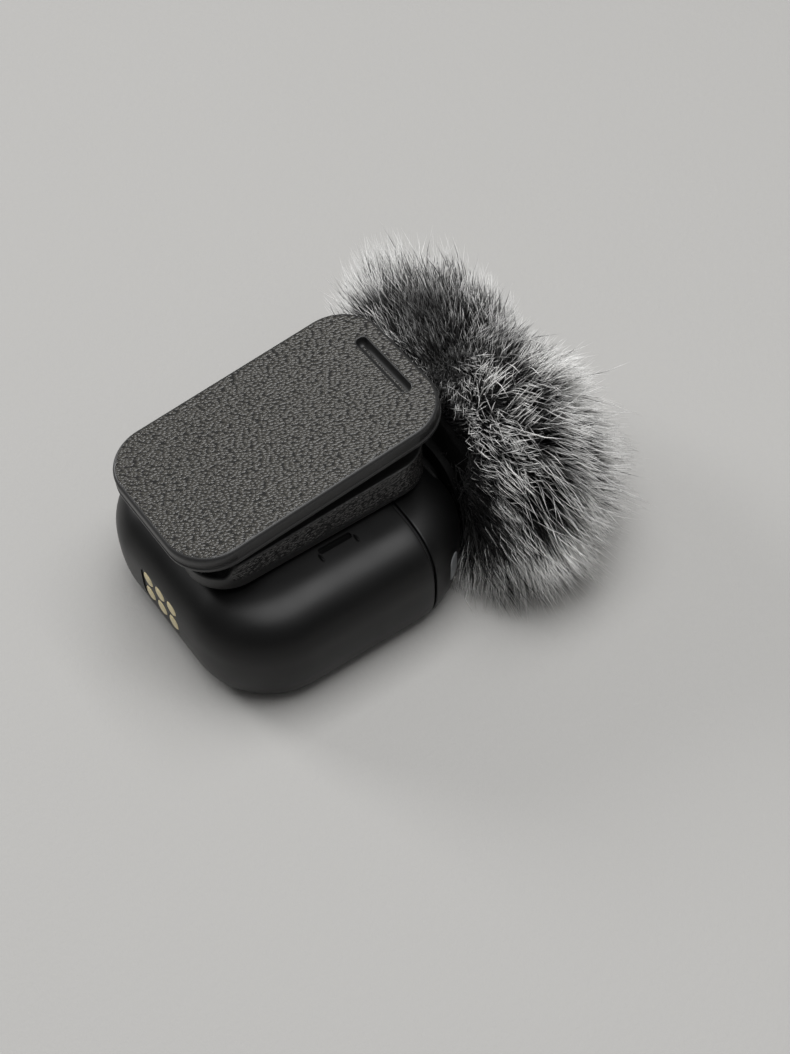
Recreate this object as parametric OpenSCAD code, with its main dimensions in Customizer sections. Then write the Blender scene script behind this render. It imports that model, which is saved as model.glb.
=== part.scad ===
// Clip-on wireless lavalier microphone with a sprung magnetic clip and a fur windscreen.
// Millimetres. +X runs to the microphone end, +Z up through the clip, the origin is the
// middle of the housing's flat underside.

/* [Housing] */
// Length of the housing along the microphone axis
body_length = 26.6; // [25:0.1:30]
// Width of the housing
body_width = 26.1; // [25:0.1:30]
// Height of the housing at its flat crown
body_height = 11.6; // [11.2:0.1:13]
// Radius of the four upright corners, seen from above
corner_radius = 7.8; // [7:0.1:8.6]
// Height of the widest line, as a share of the housing's height
widest_share = 0.543; // [0.52:0.001:0.57]
// How far the top edge rolls inwards
top_roll = 5.6; // [5:0.1:6]
// How far the underside edge rolls inwards
bottom_roll = 3.0; // [2.6:0.1:3.4]
// Rise of the crown above the rolled edge
crown_rise = 0.5; // [0.3:0.05:0.7]
// Length of the flat seat for the clip
seat_length = 12; // [11.5:0.1:13]
// Width of the flat seat for the clip
seat_width = 8; // [7.5:0.1:9]
// Wall of the moulded shells
wall = 1.2; // [1:0.05:1.3]

/* [Seam] */
// Distance of the seam from the middle of the housing
seam_x = 7.0; // [6.8:0.1:7.4]
// Width of the seam between shell and cap
seam_gap = 0.25; // [0.15:0.05:0.4]
// How deep the gasket lies below the surface
seam_depth = 0.4; // [0.2:0.05:0.6]
// Length of the cap's register lip inside the shell
lip_length = 1.3; // [1:0.1:1.5]
// Thickness of the register lip
lip_wall = 0.7; // [0.5:0.05:0.8]
// Gap round pieces that are pushed together by hand at assembly
fit_gap = 0.05; // [0.02:0.01:0.08]

/* [Charging contacts] */
// Diameter of one gold contact
contact_diameter = 1.5; // [1.3:0.05:1.6]
// Distance between neighbouring contacts
contact_pitch = 1.95; // [1.85:0.05:2.1]
// How far the middle of the contact field lies below the widest line
contact_drop = 0.4; // [0.2:0.05:0.6]
// Depth of the pocket that the contacts lie in
contact_pocket = 0.12; // [0.08:0.02:0.3]
// Thickness of the carrier behind the wall
carrier_thickness = 1.1; // [0.9:0.05:1.3]

/* [Electronics] */
// Length of the circuit board
board_length = 15.6; // [14:0.1:15.8]
// Width of the circuit board
board_width = 19.4; // [18.6:0.1:19.8]
// Thickness of the circuit board
board_thickness = 0.8; // [0.6:0.05:1]
// Height of the circuit board's lower face
board_height = 5.6; // [5.4:0.05:5.8]
// Length of the battery
battery_length = 14.0; // [12:0.1:14.2]
// Thickness of the battery
battery_thickness = 3.6; // [3:0.1:3.8]
// Thickness of the keeper plate that the clip's magnets pull on
keeper_thickness = 1.0; // [0.8:0.05:1.1]

/* [Buttons and light] */
// Length of the power button
power_length = 4.8; // [4.4:0.1:5]
// Height of both buttons
button_height = 2.4; // [2.2:0.05:2.6]
// Travel of the buttons
button_travel = 0.25; // [0.2:0.01:0.3]
// How far the buttons stand proud of the widest line
button_proud = 0.2; // [0.1:0.05:0.25]
// Running gap round a button
button_gap = 0.12; // [0.08:0.01:0.15]
// Width of the light window
light_width = 1.5; // [1.3:0.05:1.6]
// Height of the light window
light_height = 3.4; // [3:0.1:3.8]
// Bearing of the light window round the corner, from the side towards the end
light_bearing = 33; // [31:1:38]

/* [Microphone port] */
// Width of the socket for the windscreen
socket_width = 9.4; // [9:0.1:9.8]
// Height of the socket for the windscreen
socket_height = 4.6; // [4.4:0.1:5]
// Depth of the socket for the windscreen
socket_depth = 1.5; // [1.3:0.05:1.6]
// Radius of the sound hole behind the socket
port_radius = 2.0; // [1.8:0.05:2.1]
// Radius of the microphone capsule
capsule_radius = 2.6; // [2.4:0.05:2.8]
// Length of the microphone capsule
capsule_length = 1.8; // [1.6:0.05:2]

/* [Clip] */
// Sideways place of the clip on its magnets
clip_offset = 0.5; // [-1:0.1:1]
// Length of the upper jaw plate
plate_length = 26.8; // [26:0.1:28]
// Width of the upper jaw plate
plate_width = 16.2; // [16:0.1:17]
// Thickness of the upper jaw plate
plate_thickness = 1.75; // [1.6:0.05:1.9]
// Corner radius of the upper jaw plate
plate_corner = 4.3; // [4:0.1:4.6]
// Rounding of the plate's upper edge
plate_edge = 0.35; // [0.2:0.05:0.4]
// Slope of the upper jaw plate at rest, in degrees
plate_slope = 6.0; // [5.5:0.1:6.5]
// Length of the thumb groove across the plate
groove_length = 7.6; // [7:0.1:8]
// Width of the thumb groove
groove_width = 1.1; // [0.9:0.05:1.3]
// Depth of the thumb groove
groove_depth = 0.8; // [0.5:0.05:0.9]
// Height of the lower jaw's side walls at the gripping end
base_height = 3.1; // [2.9:0.05:3.3]
// Thickness of the lower jaw's floor
base_floor = 1.3; // [1.2:0.05:1.4]
// Wall of the lower jaw
base_wall = 1.3; // [1.2:0.05:1.4]
// How far the lower jaw stands in from the plate's sides
base_inset = 0.6; // [0.5:0.05:0.7]
// Depth of the gripping mouth in front of the side walls
mouth_depth = 2.3; // [2.1:0.1:2.5]
// Diameter of the hinge pin
pin_diameter = 1.2; // [1:0.05:1.3]
// Distance of the hinge pin from the middle of the housing
pin_x = -1.5; // [-1.8:0.1:-1.2]
// Running gap of the hinge pin in the plate's ears
pin_gap = 0.05; // [0.03:0.01:0.08]
// Height of the hinge pin above the lower jaw's floor
pin_rise = 1.4; // [1.35:0.05:1.5]
// Wire of the torsion spring
spring_wire = 0.5; // [0.4:0.05:0.55]
// Full turns of the torsion spring before its last part turn
spring_turns = 3; // [2:1:3]
// Radius of one clip magnet
magnet_radius = 2.3; // [2:0.05:2.4]
// Thickness of the clip magnets
magnet_thickness = 1.0; // [0.8:0.05:1]

/* [Windscreen] */
// Length of the fur's lobes ahead of the cap's end
fur_reach = 13.8; // [13.2:0.1:14.6]
// Radius of the fur's larger lobe
large_lobe = 9.0; // [8.8:0.1:9.6]
// Radius of the fur's smaller lobe
small_lobe = 8.4; // [8.3:0.1:9]
// Radius of the fur's waist, between the lobes
waist_radius = 7.6; // [7.4:0.1:7.8]
// Distance between the middles of the two lobes
lobe_spacing = 17.2; // [16:0.1:18]
// Thickness of the collar's flange
flange_thickness = 1.0; // [0.8:0.05:1.1]
// Play of the collar in its socket
collar_gap = 0.12; // [0.08:0.01:0.15]
// Length of the foam core
foam_length = 6.6; // [6:0.1:7]
// Thickness of the knitted backing under the fur
backing_thickness = 0.55; // [0.5:0.05:0.7]

/* [Hidden] */
$fn = 64;
// Steps of a shell corner's quarter turn, seen from the side
roll_steps = 6;
// Exponent of the housing's rolled edges, fuller than an ellipse
roll_power = 0.8;
// Faces round a shell's corner posts
corner_faces = 32;
// Cutting blocks reach this far past what they cut
over = 40;
// Overlap that joins two forms of one solid
bite = 0.2;

// Centres of the housing's corner posts
post_x = body_length / 2 - corner_radius;
post_y = body_width / 2 - corner_radius;
edge_height = body_height - crown_rise;
// The widest line, to the nearest tenth of a millimetre
widest_height = round(body_height * widest_share * 10) / 10;
end_x = body_length / 2;
side_y = body_width / 2;

// Faces of the seam
shell_face = seam_x - seam_gap / 2;
cap_face = seam_x + seam_gap / 2;
lip_inset = wall + fit_gap;
cap_wall = lip_inset + 0.3;

// Electronics, stacked up from the shell's floor
board_top = board_height + board_thickness;
board_back = -10.4;
board_middle = board_back + board_length / 2;
board_front = board_back + board_length;
board_post_radius = 1.1;
screw_line = board_width / 2 - 1.0;
rear_screws = board_back + 2.8;
front_screws = board_front - 1.3;
post_places = [for (x = [rear_screws, front_screws], s = [-1, 1]) [x, s * screw_line]];
battery_back = board_back + 1.4;
battery_width = 2 * (screw_line - board_post_radius - 0.2);
screw_radius = 0.5;
screw_depth = 2.4;
screw_head_radius = 0.9;
screw_head_height = 0.5;
can_size = [9, 10, 1.4];
can_wall = 0.2;
chip_size = [5, 5, 0.7];
antenna_size = [1.6, 3.2, 1.1];
contact_columns = [-1, 0, 1];
contact_rows = [-0.5, 0.5];
contact_margin = 0.5;
carrier_width = 3 * contact_pitch + 1;
carrier_height = contact_pitch + contact_diameter + 0.6;
contact_height = widest_height - contact_drop;
carrier_back = wall + 0.45 - end_x;

// Buttons on the far side of the housing
button_level = board_top + 0.6;
power_x = -2.6;
link_x = 1.9;
link_length = button_height;
button_flange = 0.45;
button_lip = 0.35;
button_inner = side_y - wall - 0.1;
switch_tip = button_inner - button_flange - button_travel - fit_gap;
switch_places = [[power_x, 3.0], [link_x, 2.0]];
switch_height = 1.6;
switch_depth = 1.9;
plunger_reach = 0.8;
plunger_width = 1.0;
plunger_height = 0.8;

// Light window on the cap's corner
light_level = widest_height - 0.9;
light_depth = 1.5;
emitter_size = [1.0, 0.7, 1.2];
light_skin = corner_radius - light_depth;

// Microphone port in the cap's end
port_level = widest_height;
socket_floor = end_x - socket_depth;
boss_back = socket_floor - 1.2;
boss_width = socket_width + 2.2;
boss_height = socket_height + 2.2;
boot_wall = 0.6;
boot_radius = capsule_radius + boot_wall;
boot_back = boss_back - capsule_length;
flex_thickness = 0.15;
flex_width = 3;
flex_drop = 1.3;
flex_overlap = 1;
light_tail_back = boot_back - 1.8;
light_tail_width = 1.2;
light_tail_end = post_y + 1.95;
light_tab_end = post_y + 4.15;
light_tab_drop = 1.6;
mesh_thickness = 0.3;

// Lower jaw, seated on the housing's crown
base_bottom = body_height;
base_floor_top = base_bottom + base_floor;
base_back = -11.5;
base_front = 11.8;
base_corner = 3.7;
base_width = plate_width - 2 * base_inset;
base_slope = 2.0;
wall_back = base_back + mouth_depth;
pin_radius = pin_diameter / 2;
pin_z = base_floor_top + pin_rise;
press_gap = 0.02;
ear_inner = 2.9;
ear_thickness = 1.2;
ear_radius = 1.25;
boss_gap = 0.15;
boss_inner = ear_inner + ear_thickness + boss_gap;
boss_radius = 1.25;
pin_end = base_width / 2 - 0.55;
magnet_x = 3.0;
pad_thickness = 0.4;
pad_length = 1.4;
pad_margin = 2.2;
pad_inset = 0.5;
rim_width = 0.42;
rim_height = pad_thickness - 0.05;

// Upper jaw, placed from the hinge pin along its own slope
plate_shift = 2.2;
plate_top = 4.1;
plate_under = plate_top - plate_thickness;
jaw_back = base_back + pad_inset - pin_x;
jaw_ridge = 1.5;
groove_inset = 2.2;
jaw_rest_gap = 0.02;

// Torsion spring, a helix with one leg on the floor and one under the plate
coil_radius = pin_rise - spring_wire / 2 - 0.02;
coil_step = 30;
coil_pitch = spring_wire + 0.12;
leg_length = 6;
leg_reach = plate_under - spring_wire / 2 - 0.03;
leg_lift = asin(leg_reach / norm([coil_radius, leg_length])) - atan(coil_radius / leg_length);
leg_bearing = leg_lift + plate_slope;
coil_from = 90 + leg_bearing;
coil_to = 270 + 360 * spring_turns;
coil_count = ceil((coil_to - coil_from) / coil_step);
wire_sides = 6;

// Windscreen, pushed on from the microphone end
flange_back = end_x + 0.2;
flange_front = flange_back + flange_thickness;
flange_width = socket_width + 4.6;
flange_height = socket_height + 3.4;
plug_wall = 0.8;
foam_radius = 5.0;
backing_radius = foam_radius + backing_thickness + fit_gap;
backing_length = foam_length + backing_thickness + fit_gap;
fur_floor = 0.1;
lobe_steps = 12;
large_middle = [end_x + fur_reach - large_lobe, -9.0, 8.0];
small_middle = [end_x + fur_reach - large_lobe - 0.8, lobe_spacing - 9.0, 7.8];
waist_middle = [small_middle[0], (large_middle[1] + small_middle[1]) / 2, port_level + 0.9];

// Points of a quarter superellipse between two bearings
function roll(across, up, from, to) = [
    for (i = [0:roll_steps])
        let (t = from + (to - from) * i / roll_steps)
            [across * pow(cos(t), roll_power), up * sign(t) * pow(abs(sin(t)), roll_power)]
];

// Half outline of a corner post, shrunk evenly by inset
function post_outline(inset) = concat(
    [[0, inset]],
    [for (p = roll(bottom_roll - inset, widest_height - inset, -90, -12))
        [corner_radius - bottom_roll + p[0], widest_height + p[1]]],
    [for (p = roll(top_roll - inset, edge_height - inset - widest_height, 0, 90))
        [corner_radius - top_roll + p[0], widest_height + p[1]]],
    [[0, edge_height - inset]]
);

// The housing's pebble form, shrunk evenly by inset
module pebble(inset) {
    hull() {
        for (sx = [-1, 1], sy = [-1, 1])
            translate([sx * post_x, sy * post_y, 0])
                rotate_extrude($fn = corner_faces) polygon(post_outline(inset));
        translate([-seat_length / 2, -seat_width / 2, widest_height])
            cube([seat_length, seat_width, body_height - inset - widest_height]);
    }
}

// Everything between two stations along the microphone axis
module between(from, to) {
    translate([from, -over / 2, -over / 2]) cube([to - from, over, over]);
}

// Rectangle with round corners, flat on the ground plane
module round_rectangle(length, width, radius) {
    square([length - 2 * radius, width], center = true);
    square([length, width - 2 * radius], center = true);
    for (sx = [-1, 1], sy = [-1, 1])
        translate([sx * (length / 2 - radius), sy * (width / 2 - radius)]) circle(radius);
}

// Long round-ended bar that runs along X, with its flat section across it
module pill_x(width, height, length) {
    rotate([90, 0, 90]) linear_extrude(length) {
        square([width - height, height], center = true);
        for (s = [-1, 1]) translate([s * (width - height) / 2, 0]) circle(height / 2);
    }
}

// Half outline of a slab of one radius with a rounded upper edge
module slab_outline(radius, thickness, edge) {
    square([radius, thickness - edge]);
    square([radius - edge, thickness]);
    translate([radius - edge, thickness - edge]) circle(edge);
}

// Slab with round corners and a rounded upper edge, standing on the ground plane
module soft_slab(length, width, thickness, radius, edge) {
    for (sx = [-1, 1], sy = [-1, 1])
        translate([sx * (length / 2 - radius), sy * (width / 2 - radius), 0])
            rotate_extrude() slab_outline(radius, thickness, edge);
    rotate([90, 0, 90]) translate([0, 0, radius - length / 2]) linear_extrude(length - 2 * radius)
        for (s = [0, 1]) mirror([s, 0]) slab_outline(width / 2, thickness, edge);
    rotate([90, 0, 0]) translate([0, 0, radius - width / 2]) linear_extrude(width - 2 * radius)
        for (s = [0, 1]) mirror([s, 0]) slab_outline(length / 2, thickness, edge);
}

// Moves a piece from the housing's middle to the contact field's middle
module at_contacts() {
    for (column = contact_columns, row = contact_rows)
        translate([0, column * contact_pitch, contact_height + row * contact_pitch])
            rotate([0, 90, 0]) children();
}

// Turns a piece so that its +X points out through the light window
module at_light(distance) {
    translate([post_x, -post_y, light_level]) rotate([0, 0, light_bearing - 90])
        translate([distance, 0, 0]) children();
}

// Moves a piece to a button's middle on the far wall, with +Z pointing outwards
module at_button(x) {
    translate([x, 0, button_level]) rotate([-90, 0, 0]) children();
}

// Round-ended bar of a button, its length along X, from one depth to another
module button_bar(length, height, from, to) {
    straight = length - height;
    translate([0, 0, from]) linear_extrude(to - from) {
        if (straight > 0) square([straight, height], center = true);
        for (s = [-1, 1]) translate([s * straight / 2, 0]) circle(height / 2);
    }
}

// Button with the inner flange that keeps it in the shell
module button(x, length) {
    at_button(x) {
        button_bar(length, button_height, button_inner - button_flange, side_y + button_proud);
        button_bar(length + 2 * button_lip, button_height + 2 * button_lip,
            button_inner - button_flange, button_inner);
    }
}

// Hole in the shell that a button runs in, with room for its flange inside
module button_hole(x, length) {
    at_button(x) {
        button_bar(length + 2 * button_gap, button_height + 2 * button_gap, button_inner, over);
        button_bar(length + 2 * button_lip + 2 * button_gap,
            button_height + 2 * button_lip + 2 * button_gap,
            button_inner - button_flange - button_travel, side_y - wall + 0.05);
    }
}

module main_shell() {
    color("dimgray") difference() {
        union() {
            difference() {
                intersection() {
                    pebble(0);
                    between(-over, shell_face);
                }
                pebble(wall);
            }
            for (place = post_places)
                translate([place[0], place[1], wall - bite])
                    cylinder(r = board_post_radius, h = board_height - wall + bite);
        }
        contact_opening();
        shoulder_notch();
        button_hole(power_x, power_length);
        button_hole(link_x, link_length);
        for (place = post_places)
            translate([place[0], place[1], board_height - screw_depth])
                cylinder(r = screw_radius, h = screw_depth + bite);
    }
}

// Pocket for the contact field and the holes that the contacts come through
module contact_opening() {
    pocket_width = 2 * contact_pitch + contact_diameter + 2 * contact_margin;
    pocket_height = contact_pitch + contact_diameter + 2 * contact_margin;
    translate([-end_x - 1, 0, contact_height])
        rotate([90, 0, 90]) linear_extrude(1 + contact_pocket)
            round_rectangle(pocket_width, pocket_height, contact_diameter / 2);
    translate([-end_x - 1, 0, 0]) at_contacts()
        cylinder(d = contact_diameter + 2 * fit_gap, h = 1 + 2 * wall);
}

// Shallow nail notch beside the clip's seat, which helps to lift the clip off
module shoulder_notch() {
    notch_length = 3.4;
    notch_width = 1.1;
    notch_depth = 0.2;
    translate([0.5, -7.4, edge_height - notch_depth]) rotate([-8, 0, 0])
        linear_extrude(1) round_rectangle(notch_length, notch_width, notch_width / 2 - 0.01);
}

module mic_cap() {
    color("dimgray") difference() {
        union() {
            difference() {
                intersection() {
                    pebble(0);
                    between(cap_face, over);
                }
                pebble(cap_wall);
            }
            difference() {
                intersection() {
                    pebble(lip_inset);
                    between(cap_face - lip_length, cap_face + 1);
                }
                pebble(lip_inset + lip_wall);
            }
            port_boss();
        }
        translate([socket_floor, 0, port_level]) pill_x(socket_width, socket_height, over);
        translate([boot_back, 0, port_level]) rotate([0, 90, 0])
            cylinder(r = port_radius, h = over);
        translate([boot_back - bite, 0, port_level]) rotate([0, 90, 0])
            cylinder(r = boot_radius + fit_gap, h = capsule_length + bite);
        at_light(light_skin - 1) light_bar(2 * fit_gap, 1 + 2 * light_depth);
    }
}

// Solid block behind the socket, with the tube that the microphone's boot sits in
module port_boss() {
    intersection() {
        translate([boss_back, -boss_width / 2, port_level - boss_height / 2])
            cube([end_x - 0.8 - boss_back, boss_width, boss_height]);
        pebble(cap_wall / 2);
    }
    translate([boot_back, 0, port_level]) rotate([0, 90, 0])
        cylinder(r = boot_radius + 0.8, h = boss_back - boot_back + bite);
}

// Upright round-ended bar that points along X
module light_bar(extra, length) {
    rotate([0, 90, 0]) linear_extrude(length) {
        square([light_height - light_width, light_width + extra], center = true);
        for (s = [-1, 1])
            translate([s * (light_height - light_width) / 2, 0]) circle(d = light_width + extra);
    }
}

module seam_gasket() {
    color("black") difference() {
        intersection() {
            pebble(seam_depth);
            between(shell_face, cap_face);
        }
        pebble(lip_inset);
    }
}

module contact_carrier() {
    color("black") difference() {
        translate([carrier_back, -carrier_width / 2, contact_height - carrier_height / 2])
            cube([carrier_thickness, carrier_width, carrier_height]);
        translate([-end_x, 0, 0]) at_contacts()
            cylinder(d = contact_diameter + 2 * fit_gap, h = 2 * wall + carrier_thickness);
    }
}

module contact_pads() {
    color("gold") translate([contact_pocket - end_x + 0.05, 0, 0]) at_contacts()
        cylinder(d = contact_diameter, h = wall + carrier_thickness + 0.2);
}

module main_board() {
    color("darkgreen") difference() {
        translate([board_middle, 0, board_height]) linear_extrude(board_thickness)
            round_rectangle(board_length, board_width, 2.5);
        for (place = post_places)
            translate([place[0], place[1], 0]) cylinder(r = screw_radius + fit_gap, h = over);
    }
}

module board_screws() {
    color("silver") for (place = post_places) translate([place[0], place[1], 0]) {
        translate([0, 0, board_height - screw_depth + 0.2])
            cylinder(r = screw_radius - fit_gap / 2, h = board_top - board_height + screw_depth);
        translate([0, 0, board_top]) cylinder(r = screw_head_radius, h = screw_head_height);
    }
}

module shield_can() {
    color("silver") translate([-6, -can_size[1] / 2, board_top]) difference() {
        cube(can_size);
        translate([can_wall, can_wall, -1])
            cube([can_size[0] - 2 * can_wall, can_size[1] - 2 * can_wall, 1 + can_size[2] - can_wall]);
    }
}

module radio_chip() {
    color("black") translate([-4, -chip_size[1] / 2, board_top]) cube(chip_size);
}

module antenna() {
    color("ivory") translate([board_back + 0.4, -4.6, board_top]) cube(antenna_size);
}

module battery() {
    color("lightsteelblue") translate([battery_back + battery_length / 2, 0, wall])
        linear_extrude(battery_thickness) round_rectangle(battery_length, battery_width, 0.8);
}

module battery_foam() {
    color("gray") translate([battery_back + battery_length / 2, 0, wall + battery_thickness])
        linear_extrude(board_height - wall - battery_thickness)
            square([battery_length - 4, battery_width - 4], center = true);
}

module keeper_plate() {
    color("silver") translate([0, 0, body_height - wall - keeper_thickness])
        linear_extrude(keeper_thickness)
            round_rectangle(seat_length - 1, seat_width - 1, 0.8);
}

module tact_switches() {
    color("silver") for (place = switch_places) {
        translate([place[0] - place[1] / 2, switch_tip - plunger_reach - switch_depth, board_top])
            cube([place[1], switch_depth, switch_height]);
        translate([place[0] - plunger_width / 2, switch_tip - plunger_reach - bite,
            button_level - plunger_height / 2])
                cube([plunger_width, plunger_reach + bite, plunger_height]);
    }
}

module power_button() {
    color("dimgray") button(power_x, power_length);
}

module link_button() {
    color("dimgray") button(link_x, link_length);
}

module light_pipe() {
    color("lightgray") intersection() {
        at_light(light_skin) light_bar(0, 2 * light_depth);
        pebble(0);
    }
}

module light_emitter() {
    color("white") at_light(light_skin - emitter_size[0])
        translate([0, -emitter_size[1] / 2, -emitter_size[2] / 2]) cube(emitter_size);
}

// Thin circuit that joins the board, the microphone and the light
module front_flex() {
    tail_front = light_tail_back + light_tail_width;
    color("orange") {
        translate([board_front - flex_overlap, -flex_width / 2, board_top])
            cube([boot_back - board_front + flex_overlap, flex_width, flex_thickness]);
        translate([boot_back - flex_thickness, -flex_width / 2, port_level - flex_drop])
            cube([flex_thickness, flex_width, 2 * flex_drop]);
        translate([light_tail_back, -light_tail_end, board_top])
            cube([light_tail_width, light_tail_end, flex_thickness]);
        translate([tail_front - flex_thickness, -light_tab_end, board_top - light_tab_drop])
            cube([flex_thickness, light_tab_end - light_tail_end + bite,
                light_tab_drop + flex_thickness]);
    }
}

module mic_capsule() {
    color("silver") translate([boot_back, 0, port_level]) rotate([0, 90, 0])
        cylinder(r = capsule_radius, h = capsule_length);
}

module mic_boot() {
    color("black") translate([boot_back, 0, port_level]) rotate([0, 90, 0]) difference() {
        cylinder(r = boot_radius, h = capsule_length);
        translate([0, 0, -1]) cylinder(r = capsule_radius + fit_gap / 2, h = capsule_length + 2);
    }
}

module mic_mesh() {
    color("silver") translate([socket_floor - mesh_thickness, 0, port_level]) rotate([0, 90, 0])
        cylinder(r = port_radius - fit_gap / 2, h = mesh_thickness);
}

// Places a piece in the clip's own plane of symmetry
module on_clip() {
    translate([0, clip_offset, 0]) children();
}

// Places a piece in the upper jaw's sloping frame, with its origin on the hinge pin
module on_plate() {
    translate([pin_x, clip_offset, pin_z]) rotate([0, -plate_slope, 0]) children();
}

module clip_base() {
    base_length = base_front - base_back;
    base_middle = (base_front + base_back) / 2;
    color("dimgray") on_clip() difference() {
        union() {
            translate([base_middle, 0, base_bottom]) linear_extrude(base_floor)
                round_rectangle(base_length, base_width, base_corner);
            side_walls(base_length, base_middle);
            front_rim(base_length, base_middle);
            pin_bosses();
        }
        for (s = [-1, 1])
            translate([s * magnet_x, 0, base_floor_top - magnet_thickness - fit_gap])
                cylinder(r = magnet_radius + fit_gap, h = 2 * magnet_thickness);
        translate([pin_x, -pin_end - press_gap, pin_z]) rotate([-90, 0, 0])
            cylinder(r = pin_radius + press_gap, h = 2 * (pin_end + press_gap));
    }
}

// Tray wall of the lower jaw, open at the gripping end and sloping at its top
module side_walls(base_length, base_middle) {
    difference() {
        translate([base_middle, 0, base_bottom]) linear_extrude(over / 4) difference() {
            round_rectangle(base_length, base_width, base_corner);
            round_rectangle(base_length - 2 * base_wall, base_width - 2 * base_wall,
                base_corner - base_wall);
        }
        translate([wall_back - over, -over / 2, base_floor_top - bite]) cube(over);
        translate([wall_back, 0, base_bottom + base_height]) rotate([0, -base_slope, 0])
            translate([-over / 4, -over / 2, 0]) cube(over);
    }
}

// Low rim round the gripping end of the lower jaw, clear of its rubber strip
module front_rim(base_length, base_middle) {
    translate([0, 0, base_floor_top - bite]) linear_extrude(rim_height + bite) difference() {
        translate([base_middle, 0]) round_rectangle(base_length, base_width, base_corner);
        translate([base_middle, 0]) round_rectangle(base_length - 2 * rim_width,
            base_width - 2 * rim_width, base_corner - rim_width);
        translate([wall_back + bite, -over / 2]) square(over);
        translate([base_back + pad_inset - fit_gap, pad_margin - base_width / 2 - fit_gap])
            square([over, base_width - 2 * pad_margin + 2 * fit_gap]);
    }
}

// Bosses that carry the hinge pin, grown from the floor and the side walls
module pin_bosses() {
    depth = base_width / 2 - base_wall / 2 - boss_inner;
    for (s = [0, 1]) mirror([0, s, 0]) translate([pin_x, boss_inner, 0]) {
        translate([0, 0, pin_z]) rotate([-90, 0, 0]) cylinder(r = boss_radius, h = depth);
        translate([-boss_radius, 0, base_floor_top - bite])
            cube([2 * boss_radius, depth, pin_rise + bite]);
    }
}

module clip_magnets() {
    color("silver") on_clip() for (s = [-1, 1])
        translate([s * magnet_x, 0, base_floor_top - magnet_thickness])
            cylinder(r = magnet_radius, h = magnet_thickness);
}

module lower_pad() {
    color("black") on_clip()
        translate([base_back + pad_inset, pad_margin - base_width / 2, base_floor_top])
            cube([pad_length, base_width - 2 * pad_margin, pad_thickness]);
}

module hinge_pin() {
    color("silver") translate([pin_x, clip_offset - pin_end, pin_z]) rotate([-90, 0, 0])
        cylinder(r = pin_radius, h = 2 * pin_end);
}

// Centre line of the spring: floor leg, coil and plate leg
function coil_point(angle) = [
    coil_radius * cos(angle),
    coil_pitch * (angle - (coil_from + coil_to) / 2) / 360,
    coil_radius * sin(angle)
];
function spring_path() = concat(
    [coil_point(coil_from) + leg_length * [cos(leg_bearing), 0, sin(leg_bearing)]],
    [for (i = [0:coil_count]) coil_point(coil_from + (coil_to - coil_from) * i / coil_count)],
    [coil_point(coil_to) + leg_length * [1, 0, 0]]
);
function unit(v) = v / norm(v);
function along(path, i) =
    unit(path[min(i + 1, len(path) - 1)] - path[max(i - 1, 0)]);

// Ring of points round one station of the wire
function wire_ring(path, i) =
    let (ahead = along(path, i), side = unit(cross([0, 1, 0], ahead)), up = cross(ahead, side))
        [for (k = [0:wire_sides - 1])
            path[i] + spring_wire / 2 * (cos(360 * k / wire_sides) * side
                + sin(360 * k / wire_sides) * up)];

module torsion_spring() {
    path = spring_path();
    last = len(path) - 1;
    points = [for (i = [0:last], p = wire_ring(path, i)) p];
    sides = [for (i = [0:last - 1], k = [0:wire_sides - 1])
        let (a = i * wire_sides + k, b = i * wire_sides + (k + 1) % wire_sides)
            each [[a, b + wire_sides, b], [a, a + wire_sides, b + wire_sides]]];
    near_end = [[for (k = [0:wire_sides - 1]) k]];
    far_end = [[for (k = [0:wire_sides - 1]) last * wire_sides + wire_sides - 1 - k]];
    color("silver") translate([pin_x, clip_offset, pin_z])
        polyhedron(points, concat(sides, near_end, far_end));
}

module clip_plate() {
    color("gray") on_plate() difference() {
        union() {
            translate([plate_shift, 0, plate_under])
                soft_slab(plate_length, plate_width, plate_thickness, plate_corner, plate_edge);
            plate_ears();
            translate([jaw_back, pad_margin - base_width / 2, plate_under - jaw_ridge])
                cube([pad_length, base_width - 2 * pad_margin, jaw_ridge + bite]);
        }
        rotate([90, 0, 0]) translate([0, 0, -over / 2])
            cylinder(r = pin_radius + pin_gap, h = over);
        translate([plate_shift + plate_length / 2 - groove_inset, 0, plate_top - groove_depth])
            linear_extrude(1) round_rectangle(groove_width, groove_length, groove_width / 2 - 0.01);
    }
}

// Two ears that reach down from the plate and run on the hinge pin
module plate_ears() {
    for (s = [0, 1]) mirror([0, s, 0]) translate([0, ear_inner, 0]) {
        translate([0, ear_thickness, 0]) rotate([90, 0, 0])
            cylinder(r = ear_radius, h = ear_thickness);
        translate([-ear_radius, 0, 0])
            cube([2 * ear_radius, ear_thickness, plate_under + bite]);
    }
}

// Rubber strip on the upper jaw's ridge, which meets the lower strip at rest
module upper_pad() {
    top = plate_under - jaw_ridge;
    color("black") on_plate() difference() {
        translate([jaw_back, pad_margin - base_width / 2, top - over / 8])
            cube([pad_length, base_width - 2 * pad_margin, over / 8]);
        rotate([0, plate_slope, 0]) translate([-over, -over / 2, lower_pad_top() - over])
            cube([2 * over, over, over]);
    }
}

// Height of the lower strip's top above the hinge pin
function lower_pad_top() = base_floor_top + pad_thickness + jaw_rest_gap - pin_z;

module windscreen_collar() {
    plug_back = socket_floor + collar_gap;
    plug_width = socket_width - 2 * collar_gap;
    plug_height = socket_height - 2 * collar_gap;
    color("black") translate([0, 0, port_level]) difference() {
        union() {
            translate([plug_back, 0, 0])
                pill_x(plug_width, plug_height, flange_back - plug_back + bite);
            translate([flange_back, 0, 0]) pill_x(flange_width, flange_height, flange_thickness);
        }
        translate([plug_back - 1, 0, 0])
            pill_x(plug_width - 2 * plug_wall, plug_height - 2 * plug_wall, over);
    }
}

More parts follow.
